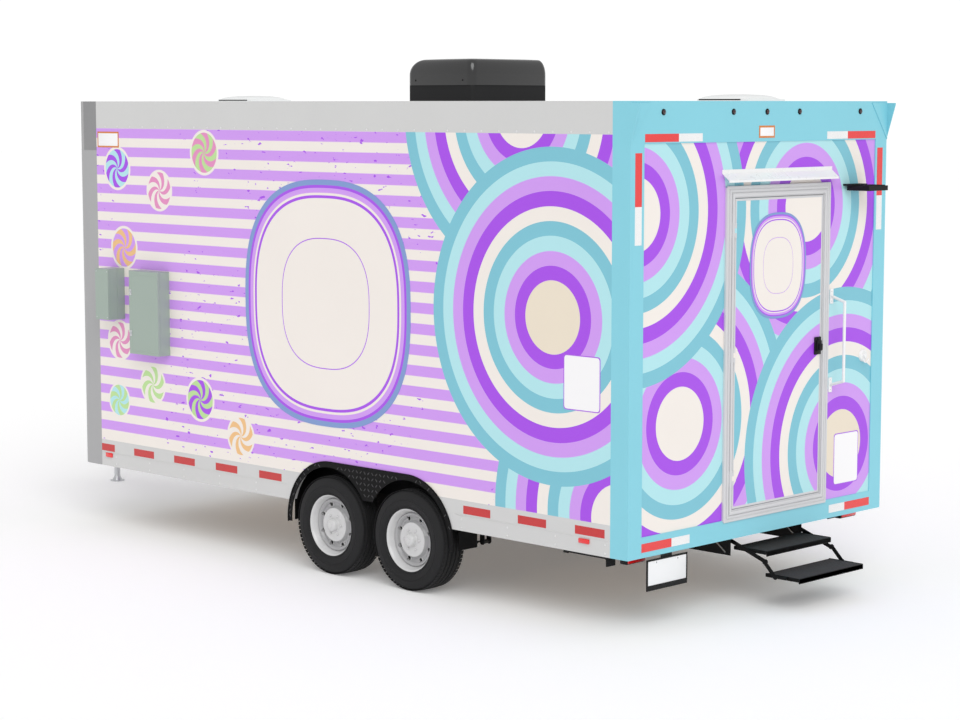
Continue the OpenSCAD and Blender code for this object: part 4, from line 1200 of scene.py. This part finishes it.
# Up the straight side, over the crown in steps of 7.5 degrees, and in to the flat top
rings = [level_ring(*pulled_in(ac_low, ac_high, 0.012, 0.012, 0.012), 0.045, shroud_top)]
for z in (shroud_top - 0.004, shoulder_z):
    rings.append(level_ring(*pulled_in(ac_low, ac_high, 0, 0, 0), 0.05, z))
for n in range(1, 13):
    angle = math.radians(n * 7.5)
    side_in = 0.038 * (1 - math.cos(angle))
    front_in = 0.125 * (1 - math.cos(angle))
    rings.append(level_ring(*pulled_in(ac_low, ac_high, side_in, front_in, side_in), 0.05,
                            shoulder_z + crown * math.sin(angle)))
rings.append(level_ring(*pulled_in(ac_low, ac_high, 0.10, 0.22, 0.10), 0.04, ac_high.z))
cover = Shape()
cover.skin(rings)
# Pressed ribs along the top of the cover
for n in range(5):
    y = ac_y + (n - 2) * 0.105
    cover.brick((ac_low.x + 0.16, y - 0.012, ac_high.z - 0.010),
                (ac_high.x - 0.25, y + 0.012, ac_high.z), 0.004)
cover_thing = cover.piece("air_conditioner_cover", cover_black, crease=40)
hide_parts("air_conditioner")
shroud = Shape()
shroud_corners = pulled_in(ac_low, ac_high, 0.006, 0.006, 0.006)
shroud_zs = (ac_low.z, ac_low.z + 0.004, shroud_top + 0.002)
shroud.skin([level_ring(*shroud_corners, 0.03, z) for z in shroud_zs])
shroud.piece("air_conditioner_shroud", shroud_black)
louvre_turn = (0, math.radians(28), 0)
louvres = [((ac_high.x - 0.005, ac_y + side * 0.17, ac_low.z + 0.022 + n * 0.0115), louvre_turn)
           for n in range(8) for side in (-1, 1)]
studs("air_conditioner_louvres", louvres, (0.005, 0.155, 0.0012), shroud_black,
      block=True)
cover_screws = [((x, y, shroud_top + 0.030), (math.radians(90) * turn, 0, 0))
                for x in (ac_low.x + 0.09, ac_high.x - 0.09)
                for y, turn in ((ac_low.y - 0.0002, 1), (ac_high.y + 0.0002, -1))]
studs("air_conditioner_screws", cover_screws, (0.008, 0.008, 0.003), shroud_black)

lid_l = 0.400
lid_edge = 0.008
for name in ("front_vent_lid", "rear_vent_lid"):
    low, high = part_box(name)
    base_x = high.x - lid_l
    rings = [level_ring((base_x, low.y), (high.x, high.y), 0.03, z) for z in (low.z, low.z + lid_edge)]
    for n in range(1, 9):
        angle = math.radians(n * 10)
        inset = 0.012 + 0.135 * (1 - math.cos(angle))
        rings.append(level_ring((base_x + inset, low.y + inset), (high.x - inset, high.y - inset), 0.04,
                                low.z + lid_edge + (high.z - low.z - 0.009) * math.sin(angle)))
    rings.append(level_ring((base_x + 0.16, low.y + 0.16), (high.x - 0.16, high.y - 0.16), 0.02, high.z))
    dome = Shape()
    dome.skin(rings)
    middle = (low.y + high.y) / 2
    # The lid's hinge leaf and knuckle, at the pin
    dome.brick((low.x + 0.006, middle - 0.110, low.z + 0.001),
               (base_x + 0.030, middle + 0.110, low.z + 0.006), 0.001)
    dome_thing = dome.piece(name + "_dome", vent_plastic, name, crease=40)
    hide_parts(name)
    lid_screws = [((x, y, low.z + 0.009), (0, 0, 0)) for x in (base_x + 0.008, high.x - 0.008)
                  for y in (low.y + 0.06, middle, high.y - 0.06)]
    studs(name + "_screws", lid_screws, (0.004, 0.004, 0.002), steel_bright, name)

# ---- Power boxes ----
# Two sage green enamelled steel boxes on the left wall: the large one has a hinged
# door with two latches, the small one a lid with four screws. Each has a rain lip.
sage = coating("sage_enamel", tint(156, 171, 161), 0.38, 0.03, 0.08, 220.0, coat_weight=0.15)
wear(sage, "power_boxes", "power_box_door")
boxes_low, boxes_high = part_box("power_boxes")
power_face = Face((rear_x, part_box("power_box_door")[1].y, 0), (1, 0, 0), (0, 0, 1), (0, 1, 0))
# The pressed step round the door, and two latches on its edge
power_lid = Shape()
step_outline = [(-0.026, -0.001), (-0.024, 0.0014), (-0.014, 0.0014), (-0.012, -0.001)]
power_lid.moulding(power_face, (4.384, boxes_low.z + 0.004), (4.716, boxes_high.z - 0.004), step_outline)
power_lid.piece("power_box_door_step", sage, "power_box_door")
latches = Shape()
for z in (1.500, 1.800):
    latches.slab(left_face, (4.690, z - 0.022), (4.714, z + 0.022), 0.105, 0.1085, 0.001)
    latches.slab(left_face, (4.696, z - 0.008), (4.706, z + 0.008), 0.108, 0.116, 0.002)
latches.piece("power_box_latches", plated, "power_box_door")
# A rain lip over each box, and a raised band round the seam of the small one's lid
lips = Shape()
lips.slab(left_face, (4.380, 1.955), (4.720, 1.9575), 0, 0.104, 0.001)
lips.slab(left_face, (4.914, 1.955), (5.070, 1.9575), 0, 0.150, 0.001)
for z in (1.582, 1.9525):
    lips.slab(left_face, (4.913, z), (5.071, z + 0.0035), 0.064, 0.068, 0.0006)
for x in (4.9135, 5.0705):
    lips.slab(left_face, (x - 0.0012, 1.583), (x + 0.0012, 1.955), 0.064, 0.068, 0.0006)
lips.piece("power_box_lips", sage)
box_screws = [(left_face.at(x, z, 0.150), left_face.turned())
              for x in (4.928, 5.056) for z in (1.600, 1.938)]
studs("meter_box_screws", box_screws, (0.005, 0.005, 0.0025), plated)

# ---- Serving side ----
# The hatch is a wrapped panel edged in aluminium with two paddle latches. Behind it are
# the sliding panes in an aluminium frame, and under it hangs the folded steel shelf.
glazing = Finish("window_glass", transmission_weight=0.9, ior=1.45, coat_weight=0.3)
smear = glazing.noise(3.0, 4.0)
glass_tone = glazing.shade(glazing.paint(tint(220, 236, 238)), smear * 0.1 + 0.95)
window_glass = glazing.done(glass_tone, smear * 0.08 + 0.03)
wear(aluminium, "serving_window")
wear(window_glass, "serving_glass")
brushed = Finish("shelf_steel", metallic=0.8)
strokes = brushed.noise(20.0, 4.0, (0.3, 14, 14))
steel_tone = brushed.shade(brushed.paint(tint(196, 198, 200)), strokes * 0.3 + 0.85)
shelf_steel = brushed.done(steel_tone, strokes * 0.25 + 0.22, strokes * 0.12)
wear(shelf_steel, "serving_shelf")
hatch_trim = Shape()
hatch_edge = [(-0.026, -0.001), (-0.026, 0.001), (-0.024, 0.002), (-0.004, 0.002),
              (-0.0005, 0.0005), (-0.0005, -0.001)]
hatch_trim.moulding(right_face, (2.155, 1.505), (4.345, 2.495), hatch_edge)
hatch_trim.piece("hatch_edge_trim", aluminium, "serving_hatch")
latches = Shape()
for x in (2.60, 3.90):
    latches.slab(right_face, (x - 0.055, 1.560), (x + 0.055, 1.640), -0.001, 0.004, 0.0015)
    latches.slab(right_face, (x - 0.040, 1.572), (x + 0.040, 1.612), 0.003, 0.011, 0.004)
    latches.turn(right_face.at(x, 1.626, 0.004), right_face.out,
                 [(0, 0), (0.008, 0), (0.0075, 0.003), (0, 0.003)], 20)
latches.piece("hatch_latches", black_moulded, "serving_hatch")
shelf_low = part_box("serving_shelf")[0]
shelf_face = Face((rear_x, shelf_low.y, 0), (1, 0, 0), (0, 0, 1), (0, -1, 0))
shelf_rim = Shape()
rim_outline = [(-0.020, -0.001), (-0.018, 0.002), (-0.003, 0.002), (-0.001, 0.0005), (-0.001, -0.001)]
shelf_rim.moulding(shelf_face, (2.202, shelf_low.z + 0.002), (4.298, shelf_low.z + 0.286), rim_outline)
shelf_rim.piece("shelf_rim", shelf_steel, "serving_shelf")
shelf_rivets = [(shelf_face.at(2.26 + n * 0.22, shelf_low.z + 0.272, 0.0005), shelf_face.turned())
                for n in range(10)]
studs("shelf_rivets", shelf_rivets, (0.005, 0.005, 0.0022), steel_bright, "serving_shelf")

# ---- Front wall ----
# Aluminium tread plate guards the lower front wall against stones from the tyres of the
# towing vehicle. Two amber lamps mark the corners.
guard_metal = coating("stone_guard", tint(188, 190, 192), 0.3, 0.05, 0.05, 120.0, metallic=0.75)
amber_lens = coating("amber_lens", tint(236, 140, 24), 0.15, 0.05, 0.03, coat_weight=0.7)
guard_top = 1.17
guard_half = 1.020
guard = Shape()
guard.slab(front_face, (-guard_half, 0.560), (guard_half, guard_top), 0.0, 0.002, 0.0008)
for z in (0.568, guard_top - 0.008):
    guard.slab(front_face, (-guard_half, z - 0.012), (guard_half, z + 0.012), 0.001, 0.005, 0.0015)
guard.piece("stone_guard", guard_metal)
guard_lugs = []
for row in range(15):
    for n in range(51):
        lean = math.radians(45 if (row + n) % 2 else -45)
        place = front_face.at(-1.0 + n * 0.04, 0.600 + row * 0.0385, 0.002)
        guard_lugs.append((place, front_face.turned(lean)))
studs("stone_guard_lozenges", guard_lugs, (0.0145, 0.0042, 0.002), guard_metal, sides=6)
ambers = Shape()
amber_bases = Shape()
for a in (-0.94, 0.94):
    amber_bases.slab(front_face, (a - 0.05, 2.900), (a + 0.05, 2.945), 0.0, 0.006, 0.002)
    ambers.slab(front_face, (a - 0.042, 2.905), (a + 0.042, 2.940), 0.004, 0.018, 0.006)
ambers.piece("front_marker_lenses", amber_lens)
amber_bases.piece("front_marker_bases", black_moulded)
